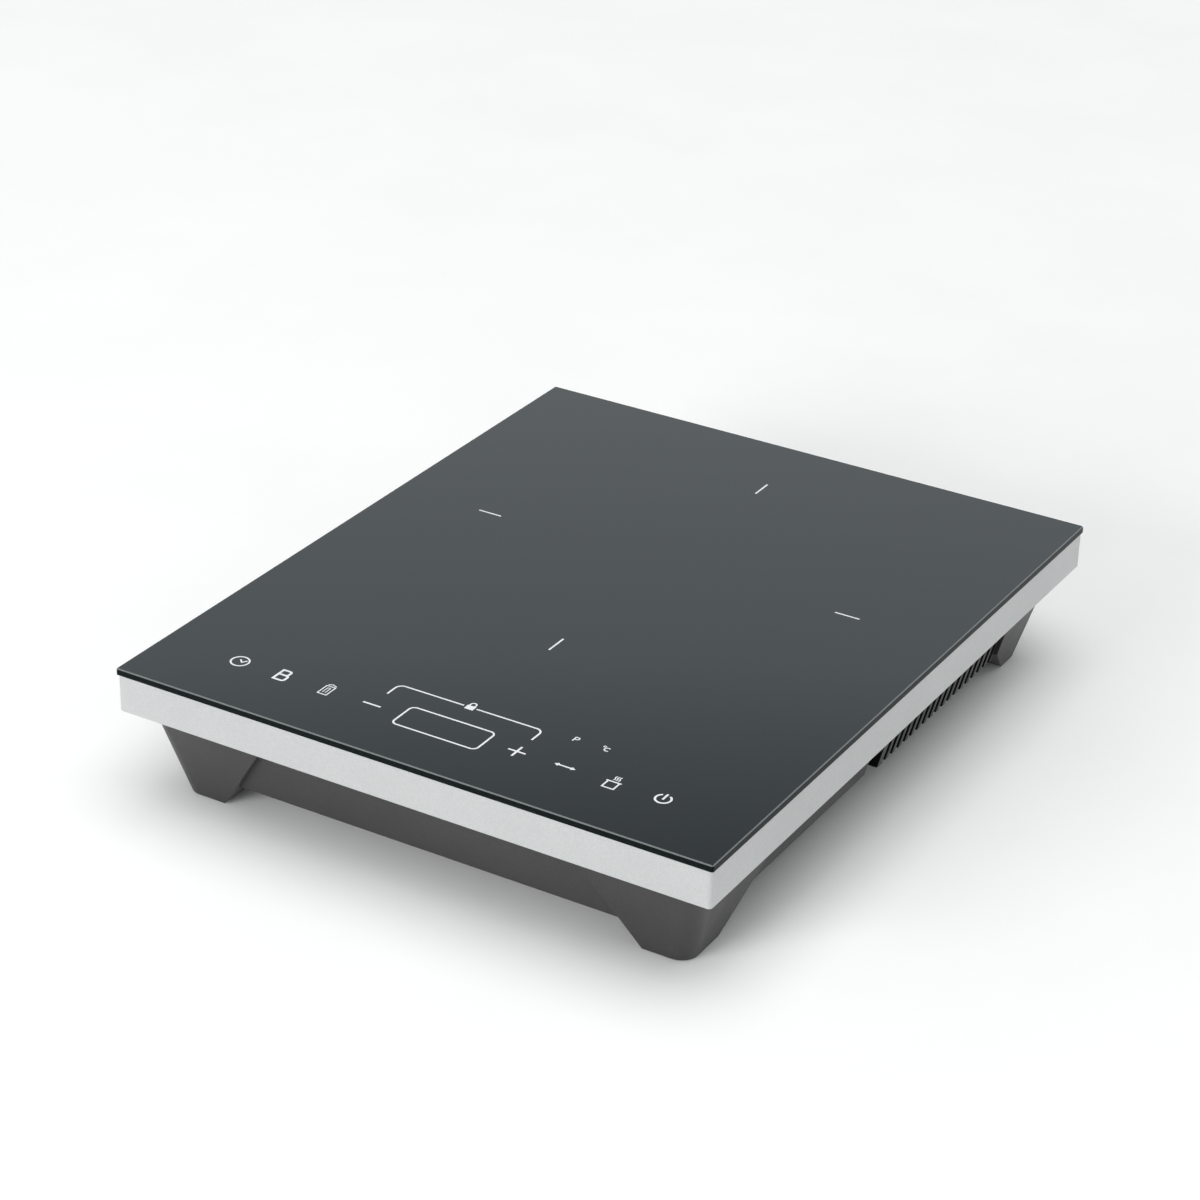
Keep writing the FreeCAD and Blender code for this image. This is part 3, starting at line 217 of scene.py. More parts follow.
def glossy(name, first, second, rough, size_mm=6.0):
    """Dipped, cast or sleeved parts with a slightly uneven skin."""
    shader = Shader(name, IOR=1.5)
    varied(shader, first, second, size_mm * 2)
    shader.set("Roughness", shader.ramp(shader.noise(size_mm, 3.0), (0.3, rough - 0.05), (0.7, rough + 0.1)))
    shader.set("Normal", shader.bump(shader.noise(size_mm / 3, 2.0), 0.02, 0.5))
    return shader


def grey(value):
    return (value, value, value)


# ---------------------------------------------------------------- outside materials
glass_low, glass_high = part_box("glass_top")
sensor_low, sensor_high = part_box("glass_thermistor")
ZONE = (sensor_low + sensor_high) / 2      # the sensor sits in the middle of the cooking zone
GLASS_TOP = glass_high.z
CHAMFER = 0.6 * MM
GROUND = 0.8 * CHAMFER         # height of the chamfer's matt part; below it the edge is dark


def make_black_glass():
    """Black glass: polished top, finely ground chamfer lightened by a painted highlight, and a dark, greenish
    edge.
    """
    shader = Shader("black_glass", IOR=1.52, Specular_Tint=(0.70, 0.91, 1.0, 1.0))
    from_side = shader.math("SUBTRACT", glass_high.x, shader.math("ABSOLUTE", shader.axis("X")))
    from_end = shader.math("SUBTRACT", glass_high.y, shader.math("ABSOLUTE", shader.axis("Y")))
    inward = shader.math("MINIMUM", from_side, from_end)
    near_edge = shader.math("LESS_THAN", inward, CHAMFER * 0.985)
    below = shader.math("LESS_THAN", shader.axis("Z"), GLASS_TOP - GROUND)
    ground = shader.math("MULTIPLY", near_edge, shader.math("SUBTRACT", 1.0, below))

    cloud = shader.noise(60.0, 5.0, 0.55)
    body = shader.ramp(cloud, (0.3, (0.0016, 0.0024, 0.0030)), (0.7, (0.0022, 0.0032, 0.0040)))
    frost = shader.noise(0.4, 3.0)
    # The chamfer's light grey is partly the frosted grind and partly a painted highlight: it stands in for
    # the bright line that the chamfer reflects.
    frost_and_highlight_colour = shader.ramp(frost, (0.3, (0.110, 0.118, 0.118)), (0.7, (0.175, 0.185, 0.184)))
    stain = shader.noise(2.0, 4.0)
    edge_colour = shader.ramp(stain, (0.3, (0.0022, 0.0036, 0.0034)), (0.7, (0.0055, 0.0080, 0.0075)))
    colour = shader.mix(ground, body, frost_and_highlight_colour)
    shader.set("Base Color", shader.mix(below, colour, edge_colour))
    shader.set("Specular IOR Level", shader.math("MULTIPLY_ADD", below, -0.44, 0.5))

    smear = shader.noise(28.0, 6.0, 0.6, shader.moved(scale=(1.0, 0.45, 1.0), turn=(0, 0, 0.5)))
    polish = shader.ramp(smear, (0.42, 0.018), (0.75, 0.055))
    ground_rough = shader.math("MULTIPLY", ground, 0.30)
    edge_rough = shader.math("MULTIPLY", below, 0.16)
    shader.set("Roughness", shader.math("MAXIMUM", polish, shader.math("MAXIMUM", ground_rough, edge_rough)))
    gritty = shader.math("MAXIMUM", ground, shader.math("MULTIPLY", below, 0.4))
    amount = shader.math("MULTIPLY", shader.noise(0.25, 2.0), gritty)
    shader.set("Normal", shader.bump(amount, 0.02, 0.5))


def make_band_material():
    """Satin silver finish: fine sprayed flake over a soft cloud, and brighter edges, partly rubbed and partly
    a painted highlight.
    """
    shader = Shader("silver_band", Metallic=0.4, IOR=1.5)
    flake = shader.noise(0.32, 2.0, 0.75)
    spots = shader.noise(1.1, 3.0, 0.6)
    cloud = shader.noise(45.0, 4.0, 0.55)
    shade = shader.math("MULTIPLY_ADD", flake, 0.72, shader.math("MULTIPLY", spots, 0.13))
    shade = shader.math("MULTIPLY_ADD", cloud, 0.15, shade)
    tone = shader.ramp(shade, (0.36, (0.425, 0.433, 0.433)), (0.64, (0.535, 0.545, 0.543)))
    # Edges lighter: partly rubbed paint, partly a painted highlight along the rims.
    worn_and_highlit = shader.edge_mask(0.45)
    shader.set("Base Color", shader.mix(shader.math("MULTIPLY", worn_and_highlit, 0.8), tone, (0.82, 0.83, 0.83)))
    shader.set("Roughness", shader.ramp(shade, (0.3, 0.50), (0.7, 0.38)))
    shader.set("Normal", shader.bump(shade, 0.010, 0.5, shader.soft_edge(0.3)))


def make_housing_material(name="housing_plastic"):
    """Charcoal moulded plastic: eroded grain, edges rubbed a little lighter, and painted shade that darkens
    the gaps.
    """
    shader = Shader(name, IOR=1.5)
    cloud = shader.noise(55.0, 4.0, 0.55)
    tone = shader.ramp(cloud, (0.3, (0.0265, 0.0254, 0.0252)), (0.7, (0.034, 0.0328, 0.0325)))
    grain = shader.noise(0.55, 3.0, 0.65)
    tone = shader.scaled(tone, shader.ramp(grain, (0.35, 0.72), (0.70, 1.25)))
    patches = shader.ramp(shader.noise(6.0, 4.0), (0.4, 0.15), (0.7, 0.6))
    tone = shader.mix(shader.math("MULTIPLY", shader.edge_mask(0.5), patches), tone, (0.105, 0.104, 0.102))
    # Painted shade: the colour is darkened in gaps and recesses, where little light reaches.
    painted_gap_shade = shader.add("ShaderNodeAmbientOcclusion", Distance=0.008)
    painted_gap_shade.samples = 4
    shade = shader.ramp(painted_gap_shade.outputs["AO"], (0.15, 0.12), (0.75, 1.0))
    shader.set("Base Color", shader.scaled(tone, shade))
    shader.set("Roughness", shader.ramp(shader.noise(9.0, 5.0, 0.6), (0.3, 0.40), (0.7, 0.46)))
    shader.set("Normal", shader.bump(grain, 0.030, 0.7, shader.soft_edge(0.45)))
    return shader, tone, shade


def make_vent_material():
    """The housing's plastic, with the slots' side faces darker: little light gets into them."""
    shader, tone, shade = make_housing_material("vent_plastic")
    side = shader.add("ShaderNodeNewGeometry")
    across = shader.math("ABSOLUTE", shader.axis("Y", side.outputs["True Normal"]))
    inside = shader.ramp(across, (0.45, 1.0), (0.75, 0.0))
    level = shader.math("MULTIPLY", shade, shader.math("MULTIPLY_ADD", inside, 0.82, 0.18))
    shader.set("Base Color", shader.scaled(tone, level))
    shader.set("Specular IOR Level", shader.math("MULTIPLY_ADD", inside, 0.42, 0.08))


def make_rubber():
    shader = Shader("pad_rubber", IOR=1.45)
    varied(shader, (0.020, 0.020, 0.020), (0.034, 0.033, 0.032), 9.0)
    dust = shader.ramp(shader.noise(1.2, 4.0, 0.7), (0.55, 0.0), (0.85, 0.5))
    source = shader.bsdf.inputs["Base Color"].links[0].from_socket
    shader.set("Base Color", shader.mix(dust, source, (0.15, 0.145, 0.135)))
    shader.set("Roughness", shader.ramp(dust, (0.0, 0.62), (0.5, 0.85)))
    shader.set("Normal", shader.bump(shader.noise(0.35, 3.0), 0.03, 0.6))


def make_ink():
    """White ceramic print: slightly uneven cover with a faint screen grain."""
    shader = Shader("white_print", IOR=1.5)
    cover = shader.noise(0.35, 3.0, 0.7)
    patch = shader.noise(8.0, 3.0, 0.5)
    shade = shader.math("MULTIPLY_ADD", cover, 0.4, shader.math("MULTIPLY", patch, 0.6))
    shader.set("Base Color", shader.ramp(shade, (0.3, (0.70, 0.72, 0.73)), (0.7, (0.90, 0.91, 0.92))))
    shader.set("Roughness", shader.ramp(cover, (0.3, 0.40), (0.7, 0.28)))
    shader.set("Normal", shader.bump(cover, 0.004, 0.4))


# ---------------------------------------------------------------- inside materials
STRANDS_ROUND = 190.0          # strand waves per radian round the coil
STRANDS_ACROSS = 2600.0        # radians of wave per metre across the wire
STRANDS_UP = 3200.0            # radians of wave per metre of height


def make_litz():
    """Copper bundle under clear varnish, with the strands twisted round it."""
    shader = Shader("litz_wire", Metallic=0.75, Coat_Weight=0.25, Coat_Roughness=0.25)
    x = shader.axis("X")
    y = shader.math("SUBTRACT", shader.axis("Y"), ZONE.y)
    angle = shader.math("ARCTAN2", y, x)
    square = shader.math("ADD", shader.math("MULTIPLY", x, x), shader.math("MULTIPLY", y, y))
    radius = shader.math("SQRT", square)
    around = shader.math("MULTIPLY", angle, STRANDS_ROUND)
    across = shader.math("MULTIPLY", radius, STRANDS_ACROSS)
    up = shader.math("MULTIPLY", shader.axis("Z"), STRANDS_UP)
    twist = shader.math("SINE", shader.math("ADD", shader.math("ADD", around, across), up))
    strand = shader.math("MULTIPLY_ADD", twist, 0.5, 0.5)
    # The colour follows the strands' height: the dark copper in the grooves between strands is painted shade.
    shader.set("Base Color", shader.ramp(strand, (0.05, (0.16, 0.055, 0.02)), (0.8, (0.72, 0.35, 0.15))))
    shader.set("Roughness", shader.ramp(shader.noise(3.0), (0.3, 0.25), (0.7, 0.42)))
    shader.set("Normal", shader.bump(strand, 0.12, 0.9))


def make_board():
    """Green circuit board: solder mask, tracks under it, holes' bright rings."""
    shader = Shader("board_laminate", IOR=1.55, Coat_Weight=0.4, Coat_Roughness=0.2)
    cell = shader.add("ShaderNodeTexVoronoi", Vector=shader.moved(scale=(1, 1, 0.0)), Scale=330.0)
    cell.distance = "CHEBYCHEV"
    cell.feature = "F2"
    track = shader.ramp(cell.outputs["Distance"], (0.44, 0.0), (0.47, 1.0), (0.56, 1.0), (0.59, 0.0))
    tone = shader.mix(track, (0.018, 0.11, 0.040), (0.035, 0.20, 0.075))
    dot = shader.add("ShaderNodeTexVoronoi", Vector=shader.moved(scale=(1, 1, 0.0)), Scale=200.0)
    ring = shader.ramp(dot.outputs["Distance"], (0.0, 1.0), (0.15, 1.0), (0.18, 0.0))
    tone = shader.mix(ring, tone, (0.60, 0.60, 0.57))
    side = shader.add("ShaderNodeNewGeometry")
    upright = shader.math("ABSOLUTE", shader.axis("Z", side.outputs["True Normal"]))
    tone = shader.mix(shader.math("LESS_THAN", upright, 0.5), tone, (0.30, 0.31, 0.16))
    shader.set("Base Color", tone)
    shader.set("Roughness", shader.ramp(shader.noise(5.0, 4.0), (0.3, 0.32), (0.7, 0.45)))
    shader.set("Normal", shader.bump(shader.math("MAXIMUM", track, ring), 0.035, 0.6))


def make_wound(name, first, second, turn_mm, axis="Z", rough=0.3):
    """Windings or tape seen as fine parallel turns."""
    shader = Shader(name, Metallic=0.6, Coat_Weight=0.3)
    wave = shader.math("SINE", shader.math("MULTIPLY", shader.axis(axis), 2 * math.pi / (turn_mm * MM)))
    height = shader.math("MULTIPLY_ADD", wave, 0.5, 0.5)
    # The colour follows the turns' height: the darker colour in the grooves between turns is painted shade.
    shader.set("Base Color", shader.ramp(height, (0.05, first), (0.7, second)))
    shader.set("Roughness", shader.ramp(shader.noise(3.0), (0.3, rough), (0.7, rough + 0.15)))
    shader.set("Normal", shader.bump(height, turn_mm * 0.3, 0.8))


def make_inside_materials():
    moulded("seal_silicone", grey(0.040), grey(0.052), 0.55)
    metal("plated_steel", (0.66, 0.66, 0.64), (0.47, 0.47, 0.45), 0.32, (1, 0.05, 1))
    metal("screw_steel", (0.50, 0.49, 0.47), (0.30, 0.295, 0.28), 0.36)
    moulded("former_plastic", (0.60, 0.58, 0.52), (0.68, 0.66, 0.60), 0.55)
    moulded("ferrite", (0.070, 0.068, 0.070), (0.100, 0.097, 0.098), 0.62, 0.8, 0.05)
    glossy("mica", (0.55, 0.49, 0.37), (0.70, 0.64, 0.52), 0.38, 9.0)
    make_wound("lead_sleeve", (0.50, 0.47, 0.40), (0.80, 0.78, 0.70), 0.9, "Z", 0.6)
    moulded("holder_silicone", (0.46, 0.11, 0.08), (0.56, 0.15, 0.11), 0.55)
    glossy("sensor_epoxy", (0.07, 0.062, 0.055), (0.12, 0.108, 0.095), 0.25)
    moulded("fan_plastic", (0.028, 0.028, 0.030), (0.040, 0.040, 0.042), 0.45, 0.6, 0.010, 0.25)
    metal("bearing_bronze", (0.62, 0.44, 0.24), (0.42, 0.28, 0.14), 0.35)
    metal("shaft_steel", (0.78, 0.78, 0.78), (0.60, 0.60, 0.61), 0.16, (1, 1, 0.05))
    moulded("magnet_ferrite", (0.085, 0.080, 0.080), (0.12, 0.115, 0.115), 0.6, 0.9, 0.04)
    make_wound("core_steel", (0.16, 0.16, 0.17), (0.46, 0.46, 0.47), 0.5, "Z", 0.4)
    make_wound("magnet_wire", (0.24, 0.075, 0.02), (0.78, 0.34, 0.12), 0.24, "Z", 0.25)
    glossy("wire_insulation", (0.66, 0.66, 0.64), (0.80, 0.80, 0.78), 0.38)
    metal("heatsink_aluminium", (0.80, 0.81, 0.82), (0.60, 0.61, 0.62), 0.34, (0.05, 1, 1))
    moulded("package_epoxy", (0.038, 0.038, 0.040), (0.052, 0.052, 0.054), 0.42, 0.3, 0.010)
    glossy("film_capacitor_shell", (0.64, 0.42, 0.09), (0.78, 0.56, 0.16), 0.30)
    glossy("capacitor_sleeve", (0.030, 0.038, 0.075), (0.048, 0.060, 0.110), 0.28)
    glossy("choke_core", (0.12, 0.25, 0.15), (0.19, 0.35, 0.23), 0.36)
    make_wound("transformer_tape", (0.56, 0.44, 0.08), (0.78, 0.66, 0.20), 3.0, "Z", 0.35)
    metal("tinned_brass", (0.70, 0.64, 0.47), (0.50, 0.43, 0.27), 0.30)
    glossy("varistor_coat", (0.055, 0.15, 0.34), (0.10, 0.24, 0.48), 0.34)
    moulded("connector_nylon", (0.72, 0.71, 0.65), (0.82, 0.81, 0.77), 0.48)
    glossy("display_epoxy", (0.060, 0.056, 0.056), (0.095, 0.090, 0.090), 0.2)
    glossy("lamp_epoxy", (0.70, 0.69, 0.60), (0.84, 0.83, 0.76), 0.16, 2.0)
    metal("spring_steel", (0.68, 0.68, 0.67), (0.48, 0.48, 0.48), 0.24)
    make_wound("ribbon_insulation", (0.38, 0.39, 0.41), (0.66, 0.67, 0.69), 1.27, "X", 0.4)
    fuse = Shader("fuse_glass", IOR=1.5, Transmission_Weight=0.55)
    varied(fuse, (0.74, 0.77, 0.74), (0.90, 0.92, 0.90), 4.0)
    fuse.set("Roughness", fuse.ramp(fuse.noise(2.0), (0.3, 0.04), (0.7, 0.12)))
    fuse.set("Normal", fuse.bump(fuse.noise(1.5), 0.01, 0.3))


def paint_cad_nodes():
    slots = {row["node"]: row["material_slot"] for row in frame["record"]["subparts"]}
    for name, thing in NODES.items():
        finish = "vent_plastic" if name.startswith("side_vent") else slots[name]
        thing.data.materials.clear()
        thing.data.materials.append(MATERIALS[finish])


# ---------------------------------------------------------------- printed marks
INK_LIFT = 0.004 * MM          # clear of the glass, so that the two never share a plane
INK_THICK = 0.014 * MM
INK_STEP = 0.001 * MM          # each stroke of a mark ends a little higher, which keeps crossings clean
LINE = 0.86                    # usual line width, mm
ARC_STEP = math.radians(6)
# The layout below is in mm from the front left corner of the glass.
LAYOUT_X = glass_low.x / MM + 0.6
LAYOUT_Y = glass_low.y / MM - 0.25


def arc(x, y, radius, start, end):
    """Points on an arc, degrees, counter-clockwise from +X."""
    first, last = math.radians(start), math.radians(end)
    count = max(2, round(abs(last - first) / ARC_STEP))
    return [(x + radius * math.cos(first + (last - first) * i / count),
             y + radius * math.sin(first + (last - first) * i / count)) for i in range(count + 1)]


def circle(x, y, radius):
    return arc(x, y, radius, 0, 360)[:-1]


def rounded(x0, y0, x1, y1, radius):
    """Closed rounded rectangle."""
    left, right, low, high = x0 + radius, x1 - radius, y0 + radius, y1 - radius
    points = []
    for number, (x, y) in enumerate(((right, high), (left, high), (left, low), (right, low))):
        points += arc(x, y, radius, 90 * number, 90 * number + 90)
    return points


class Print:
    """One printed mark: flat strokes of even width, gathered in one mesh."""

    def __init__(self):
        self.mesh = bmesh.new()
        self.strokes = 0

    def stroke(self, points, width=LINE, closed=False):
        """Line with mitred corners, as a thin solid."""
        spots = [Vector(point) for point in points]
        count = len(spots)
        left, right = [], []
        for i, spot in enumerate(spots):
            into = (spot - spots[i - 1]).normalized() if closed or i else None
            out = (spots[(i + 1) % count] - spot).normalized() if closed or i < count - 1 else into
            into = into or out
            way = (into + out).normalized()
            side = Vector((-way.y, way.x))
            reach = width / 2 / max(0.35, side.dot(Vector((-out.y, out.x))))
            left.append(spot + side * reach)
            right.append(spot - side * reach)
        bottom = GLASS_TOP + INK_LIFT
        top = bottom + INK_THICK + self.strokes * INK_STEP
        corner = Vector((LAYOUT_X, LAYOUT_Y))
        rows = []
        for a, b in zip(left, right):
            row = []
            for spot, height in ((a, top), (b, top), (b, bottom), (a, bottom)):
                row.append(self.mesh.verts.new(((corner + spot) * MM).to_3d() + Vector((0, 0, height))))
            rows.append(row)
        for i in range(count if closed else count - 1):
            one, two = rows[i], rows[(i + 1) % count]
            for j in range(4):
                k = (j + 1) % 4
                self.mesh.faces.new((one[j], one[k], two[k], two[j]))
        if not closed:
            self.mesh.faces.new(rows[0][::-1])
            self.mesh.faces.new(rows[-1])
        self.strokes += 1


def piece(name, mesh, material):
    """Object of a finished mesh, on the chassis like every piece made here."""
    bmesh.ops.recalc_face_normals(mesh, faces=mesh.faces)
    data = bpy.data.meshes.new(name)
    mesh.to_mesh(data)
    mesh.free()
    data.materials.append(MATERIALS[material])
    made = bpy.data.objects.new(name, data)
    bpy.context.scene.collection.objects.link(made)
    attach(made, "chassis")
    return made


def mark_timer(ink):
    x, y = 39.8, 34.1
    ink.stroke(circle(x, y, 4.05), 0.8, True)
    ink.stroke([(x - 0.7, y + 1.5), (x + 1.1, y - 0.4), (x + 2.6, y + 1.8)], 0.75)


def mark_boost(ink):
    """Letter B from a stem and two square-shouldered bowls."""
    stem, foot, waist, head = 59.9, 29.9, 34.3, 38.1
    ink.stroke([(stem, foot - 0.55), (stem, head + 0.55)], 1.1)
    for side, low, high in ((64.3, waist, head), (65.1, foot, waist)):
        bend = 1.25
        bowl = [(stem, high)] + arc(side - bend, high - bend, bend, 90, 0)
        ink.stroke(bowl + arc(side - bend, low + bend, bend, 0, -90) + [(stem, low)], 1.1)


def mark_grill(ink):
    ink.stroke([(82.9, 29.8), (87.3, 29.8), (87.3, 36.9), (82.9, 36.9)], 0.58, True)
    ink.stroke([(83.0, 37.8), (84.9, 38.7), (87.2, 37.8)], 0.55)
    ink.stroke([(84.4, 31.2), (84.4, 35.4), (85.8, 35.4), (85.8, 31.2)], 0.42)


def mark_minus(ink):
    ink.stroke([(103.4, 33.8), (112.2, 33.8)], 0.95)


def mark_plus(ink):
    x, y, arm = 179.2, 33.8, 4.15
    ink.stroke([(x - arm, y), (x + arm, y)], 0.95)
    ink.stroke([(x, y - arm), (x, y + arm)], 0.95)


def mark_function(ink):
    """Arrow to both sides."""
    left, right, y = 197.6, 206.3, 34.1
    ink.stroke([(left + 0.8, y), (right - 0.8, y)], 0.85)
    for tip, back in ((left, 1.4), (right, -1.4)):
        ink.stroke([(tip + back, y + 0.85), (tip, y), (tip + back, y - 0.85)], 0.7)


def mark_pot(ink):
    left, right, foot, rim = 222.2, 227.5, 29.1, 34.4
    ink.stroke([(left, rim), (left, foot), (right, foot), (right, rim)], 0.75)
    ink.stroke([(left - 0.9, rim), (right + 0.9, rim)], 0.75)
    for x in (223.9, 225.0, 226.1):
        ink.stroke([(x - 0.1, 35.6), (x + 0.3, 36.5), (x - 0.3, 37.8), (x + 0.1, 38.9)], 0.5)


def mark_power(ink):
    x, y = 248.0, 33.75
    ink.stroke(arc(x, y, 3.35, 121, 419), 0.92)
    ink.stroke([(x, y - 0.6), (x, y + 4.05)], 0.92)


def mark_display(ink):
    ink.stroke(rounded(123.0, 25.4, 164.3, 41.6, 2.6), LINE, True)


def mark_lock(ink):
    """Bracket over the minus and plus keys, with a padlock in its top line."""
    left, right, top, foot, bend = 108.0, 179.3, 54.2, 45.0, 3.2
    ink.stroke([(left, foot)] + arc(left + bend, top - bend, bend, 180, 90) + [(140.4, top)])
    ink.stroke([(146.6, top)] + arc(right - bend, top - bend, bend, 90, 0) + [(right, foot)])
    x, y = 143.6, 52.7
    for row in range(4):
        ink.stroke([(x - 2.1, y + row * 0.8), (x + 2.1, y + row * 0.8)], 0.81)
    ink.stroke([(x - 1.3, y + 2.8)] + arc(x, y + 3.9, 1.3, 180, 0) + [(x + 1.3, y + 2.8)], 0.7)


def mark_letter_p(ink):
    stem, foot, head, bowl = 193.5, 53.7, 57.0, 0.85
    ink.stroke([(stem, foot), (stem, head + 0.3)], 0.6)
    ink.stroke([(stem, head)] + arc(stem + 1.15, head - bowl, bowl, 90, -90) + [(stem, head - 2 * bowl)], 0.6)


def mark_degrees(ink):
    ink.stroke(circle(207.4, 56.8, 0.52), 0.42, True)
    ink.stroke(arc(209.4, 55.1, 1.25, 48, 312), 0.6)


def mark_zone(ink):
    """Four radial ticks round the cooking zone."""
    centre = Vector((ZONE.x / MM - LAYOUT_X, ZONE.y / MM - LAYOUT_Y))
    for quarter in range(4):
        way = Vector((math.cos(quarter * math.pi / 2), math.sin(quarter * math.pi / 2)))
        ink.stroke([centre + way * 87.4, centre + way * 99.4])


MARKS = (mark_timer, mark_boost, mark_grill, mark_minus, mark_plus, mark_function, mark_pot, mark_power,
         mark_display, mark_lock, mark_letter_p, mark_degrees, mark_zone)


def make_marks():
    for draw in MARKS:
        ink = Print()
        draw(ink)
        piece(draw.__name__, ink.mesh, "white_print")


# ---------------------------------------------------------------- detail pieces
LATHE_SIDES = 64
WIRE_SIDES = 8
ROUND_STEPS = 5


def lathe(mesh, profile, place, axis="Z", closed=False):
    """Turned shape: profile is (radius, height) in mm; a closed profile makes a ring."""
    rows = []
    for radius, height in profile:
        row = []
        for i in range(1 if radius == 0 else LATHE_SIDES):
            turn = 2 * math.pi * i / LATHE_SIDES
            x, y = radius * math.cos(turn), radius * math.sin(turn)
            spot = (x, y, height) if axis == "Z" else (x, height, y)
            row.append(mesh.verts.new(tuple((a + b) * MM for a, b in zip(spot, place))))
        rows.append(row)
    pairs = list(zip(rows, rows[1:])) + ([(rows[-1], rows[0])] if closed else [])
    for one, two in pairs:
        for i in range(LATHE_SIDES):
            k = (i + 1) % LATHE_SIDES
            if len(one) == 1:
                mesh.faces.new((one[0], two[i], two[k]))
            elif len(two) == 1:
                mesh.faces.new((one[i], one[k], two[0]))
            else:
                mesh.faces.new((one[i], one[k], two[k], two[i]))


def swept(mesh, points, radius):
    """Round wire along points, in mm."""
    spots = [Vector(point) for point in points]
    rows = []
    side = None
    for i, spot in enumerate(spots):
        way = (spots[min(i + 1, len(spots) - 1)] - spots[max(i - 1, 0)]).normalized()
        side = way.orthogonal() if side is None else side - way * side.dot(way)
        side.normalize()
        other = way.cross(side)
        row = []
        for k in range(WIRE_SIDES):
            turn = 2 * math.pi * k / WIRE_SIDES
            outward = side * math.cos(turn) + other * math.sin(turn)
            row.append(mesh.verts.new((spot + outward * radius) * MM))
        rows.append(row)
    for one, two in zip(rows, rows[1:]):
        for k in range(WIRE_SIDES):
            j = (k + 1) % WIRE_SIDES
            mesh.faces.new((one[k], one[j], two[j], two[k]))
    mesh.faces.new(rows[0][::-1])
    mesh.faces.new(rows[-1])


def rounding(radius, height, bend, start, end):
    """Profile points round an edge: an arc of radius bend between two angles, in degrees."""
    points = []
    for i in range(ROUND_STEPS + 1):
        turn = math.radians(start + (end - start) * i / ROUND_STEPS)
        points.append((radius + bend * math.cos(turn), height + bend * math.sin(turn)))
    return points


def smooth(thing, angle=35):
    """Smooth shading, with edges past the angle left sharp."""
    for face in thing.data.polygons:
        face.use_smooth = True
    thing.data.set_sharp_from_angle(angle=math.radians(angle))


def make_pads():
    """Rubber feet with a rounded rim and three moulded rings underneath."""
    low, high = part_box("foot_pads")
    radius, top = 7.0, high.z / MM
    profile = [(0, top), (radius, top)] + rounding(radius - 0.5, 0.5, 0.5, 0, -90)
    for groove in (5.4, 3.7, 2.0):
        profile += [(groove + 0.35, 0), (groove + 0.2, 0.28), (groove - 0.2, 0.28), (groove - 0.35, 0)]
    profile.append((0, 0))
    mesh = bmesh.new()
    for x in (low.x / MM + radius, high.x / MM - radius):
        for y in (low.y / MM + radius, high.y / MM - radius):
            lathe(mesh, profile, (x, y, 0))
    pads = piece("ringed_foot_pads", mesh, "pad_rubber")
    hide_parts("foot_pads")
    smooth(pads)


def make_inlet():
    """Rubber bushing: rounded flange with a shallow ring, flared mouth and a snap bead inside the wall."""
    low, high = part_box("cord_inlet_bushing")
    inner, outer = low.y / MM, high.y / MM
    seat, wall, bore, neck, flange, bead = outer - 2.0, inner + 1.8, 4.0, 6.0, 9.0, 7.5
    profile = [(bore, inner), (bead - 0.8, inner)] + rounding(bead - 0.6, inner + 0.6, 0.6, -45, 0)
    profile += [(bead, wall), (neck, wall), (neck, seat), (flange, seat)]
    profile += rounding(flange - 0.7, outer - 0.7, 0.7, 0, 90)
    profile += [(7.4, outer), (7.1, outer - 0.45), (6.5, outer - 0.45), (6.2, outer), (5.2, outer)]
    profile += [(4.6, outer - 0.25), (4.15, outer - 0.8), (bore, outer - 1.5)]
    mesh = bmesh.new()
    centre = (low + high) / 2 / MM
    lathe(mesh, profile, (centre.x, 0, centre.z), "Y", closed=True)
    bushing = piece("moulded_inlet_bushing", mesh, "pad_rubber")
    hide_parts("cord_inlet_bushing")
    smooth(bushing)


CHOKE_RING = 9.5               # mm, to the middle of the ring core
CHOKE_CORE = 3.3               # radius of the core's section
CHOKE_WIRE = 0.4
CHOKE_TURNS = 13
TURN_STEPS = 20
WINDING_SPAN = 130.0           # degrees of the ring that one winding covers


def choke_winding(name, x, y, level, foot, start):
    """One winding: turns round the core, and both ends down to the board."""
    path = []
    for i in range(CHOKE_TURNS * TURN_STEPS + 1):
        around = math.radians(start + WINDING_SPAN * i / (CHOKE_TURNS * TURN_STEPS))
        loop = -math.pi / 2 + 2 * math.pi * i / TURN_STEPS
        reach = CHOKE_RING + (CHOKE_CORE + CHOKE_WIRE) * math.cos(loop)
        height = level + (CHOKE_CORE + CHOKE_WIRE) * math.sin(loop)
        path.append((x + reach * math.cos(around), y + reach * math.sin(around), height))
    path.insert(0, (*path[0][:2], foot))
    path.append((*path[-1][:2], foot))
    mesh = bmesh.new()
    swept(mesh, path, CHOKE_WIRE)
    smooth(piece(name, mesh, "magnet_wire"), 60)


def make_choke():
    """Ring core with a wire winding on each half, standing on a plastic base."""
    low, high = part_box("line_choke")
    centre = (low + high) / 2 / MM
    foot = low.z / MM
    level = foot + 5.6
    section = []
    for angle in range(0, 360, 15):
        turn = math.radians(angle)
        section.append((CHOKE_RING + CHOKE_CORE * math.cos(turn), CHOKE_CORE * math.sin(turn)))
    mesh = bmesh.new()
    lathe(mesh, section, (centre.x, centre.y, level), closed=True)
    core = piece("choke_ring_core", mesh, "choke_core")
    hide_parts("line_choke")
    smooth(core)
    for number, start in enumerate((25, 205)):
        choke_winding(f"choke_winding_{number + 1}", centre.x, centre.y, level, foot, start)
    wide, narrow, thick, edge = 12.5, 6.0, 1.5, 0.3
    base = [(wide, foot), (wide, foot + thick - edge), (wide - edge, foot + thick)]
    base += [(narrow + edge, foot + thick), (narrow, foot + thick - edge), (narrow, foot)]
    mesh = bmesh.new()
    lathe(mesh, base, (centre.x, centre.y, 0), closed=True)
    smooth(piece("choke_base", mesh, "connector_nylon"))


# ---------------------------------------------------------------- floor and light
FLOOR_SIZE = 80.0
FLOOR_GAP = 0.1 * MM           # under the foot pads, so that the two never share a plane


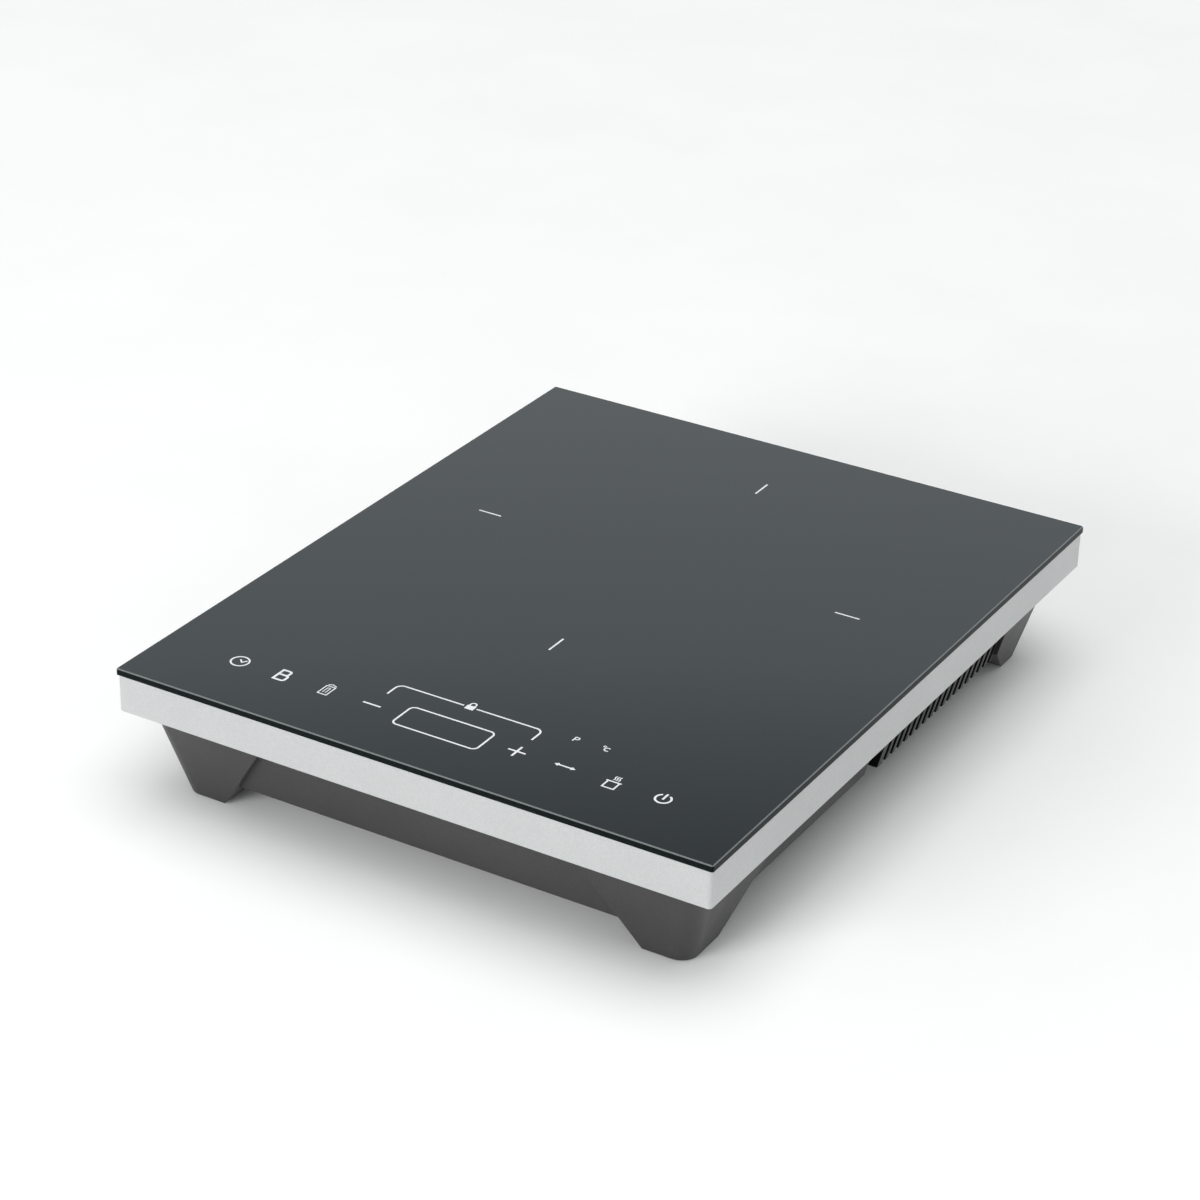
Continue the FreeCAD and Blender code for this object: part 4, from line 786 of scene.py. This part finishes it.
def make_floor():
    """Pale paper, see-through from below so that the underside can be looked at."""
    mesh = bmesh.new()
    half = FLOOR_SIZE / 2
    corners = [mesh.verts.new((x * half, y * half, 0)) for x, y in ((-1, -1), (1, -1), (1, 1), (-1, 1))]
    mesh.faces.new(corners)
    data = bpy.data.meshes.new("floor")
    mesh.to_mesh(data)
    mesh.free()
    floor = bpy.data.objects.new("floor", data)
    floor.location.z = -FLOOR_GAP
    floor.visible_shadow = False
    bpy.context.scene.collection.objects.link(floor)
    paper = Shader("floor_paper", Roughness=0.9)
    varied(paper, grey(0.91), grey(0.93), 120.0)
    side = paper.add("ShaderNodeNewGeometry")
    paper.set("Alpha", paper.math("SUBTRACT", 1.0, side.outputs["Backfacing"]))
    data.materials.append(paper.material)


WALLS = ((0.40, 0.90), (0.475, 0.86), (0.53, 0.48), (0.60, 0.26), (1.0, 0.22))   # (height, brightness)
WORLD_TINT = (0.97, 0.995, 1.0)


def make_world():
    """Studio with pale walls and a dim ceiling.

    The glass mirrors the walls, and looks darker where it mirrors higher up."""
    world = bpy.data.worlds.new("studio")
    world.use_nodes = True
    tree = world.node_tree
    coords = tree.nodes.new("ShaderNodeTexCoord")
    split = tree.nodes.new("ShaderNodeSeparateXYZ")
    tree.links.new(coords.outputs["Generated"], split.inputs[0])
    height = tree.nodes.new("ShaderNodeValToRGB")
    tree.links.new(split.outputs["Z"], height.inputs[0])
    while len(height.color_ramp.elements) < len(WALLS):
        height.color_ramp.elements.new(0.5)
    for element, (place, level) in zip(height.color_ramp.elements, WALLS):
        element.position = place
        element.color = (level, level, level, 1.0)
    tint = tree.nodes.new("ShaderNodeVectorMath")
    tint.operation = "MULTIPLY"
    tint.inputs[1].default_value = WORLD_TINT
    tree.links.new(height.outputs[0], tint.inputs[0])
    tree.links.new(tint.outputs[0], tree.nodes["Background"].inputs["Color"])
    bpy.context.scene.world = world


def add_light(data, place, aim=(0, 0, 0)):
    """Lights aren't mirrored, so that no hard lamp shape shows in the glass from any side."""
    light = bpy.data.objects.new(data.name, data)
    light.location = place
    light.rotation_euler = (Vector(aim) - Vector(place)).to_track_quat("-Z", "Y").to_euler()
    light.visible_glossy = False
    bpy.context.scene.collection.objects.link(light)


def make_studio():
    make_floor()
    make_world()
    key = bpy.data.lights.new("key_light", "AREA")
    key.shape = "RECTANGLE"
    key.size, key.size_y = 1.4, 0.9
    key.energy = 46.0
    add_light(key, (-0.7, -2.4, 0.75), (0, 0, 0.03))
    sky = bpy.data.lights.new("soft_sky", "SUN")
    sky.energy = 1.65
    sky.angle = math.radians(60)
    add_light(sky, (0.26, 0.16, 3.0))
    bpy.context.scene.view_settings.view_transform = "Standard"


make_camera()
make_black_glass()
make_band_material()
make_housing_material()
make_vent_material()
make_rubber()
make_ink()
make_litz()
make_board()
make_inside_materials()
paint_cad_nodes()
make_marks()
make_pads()
make_inlet()
make_choke()
make_studio()
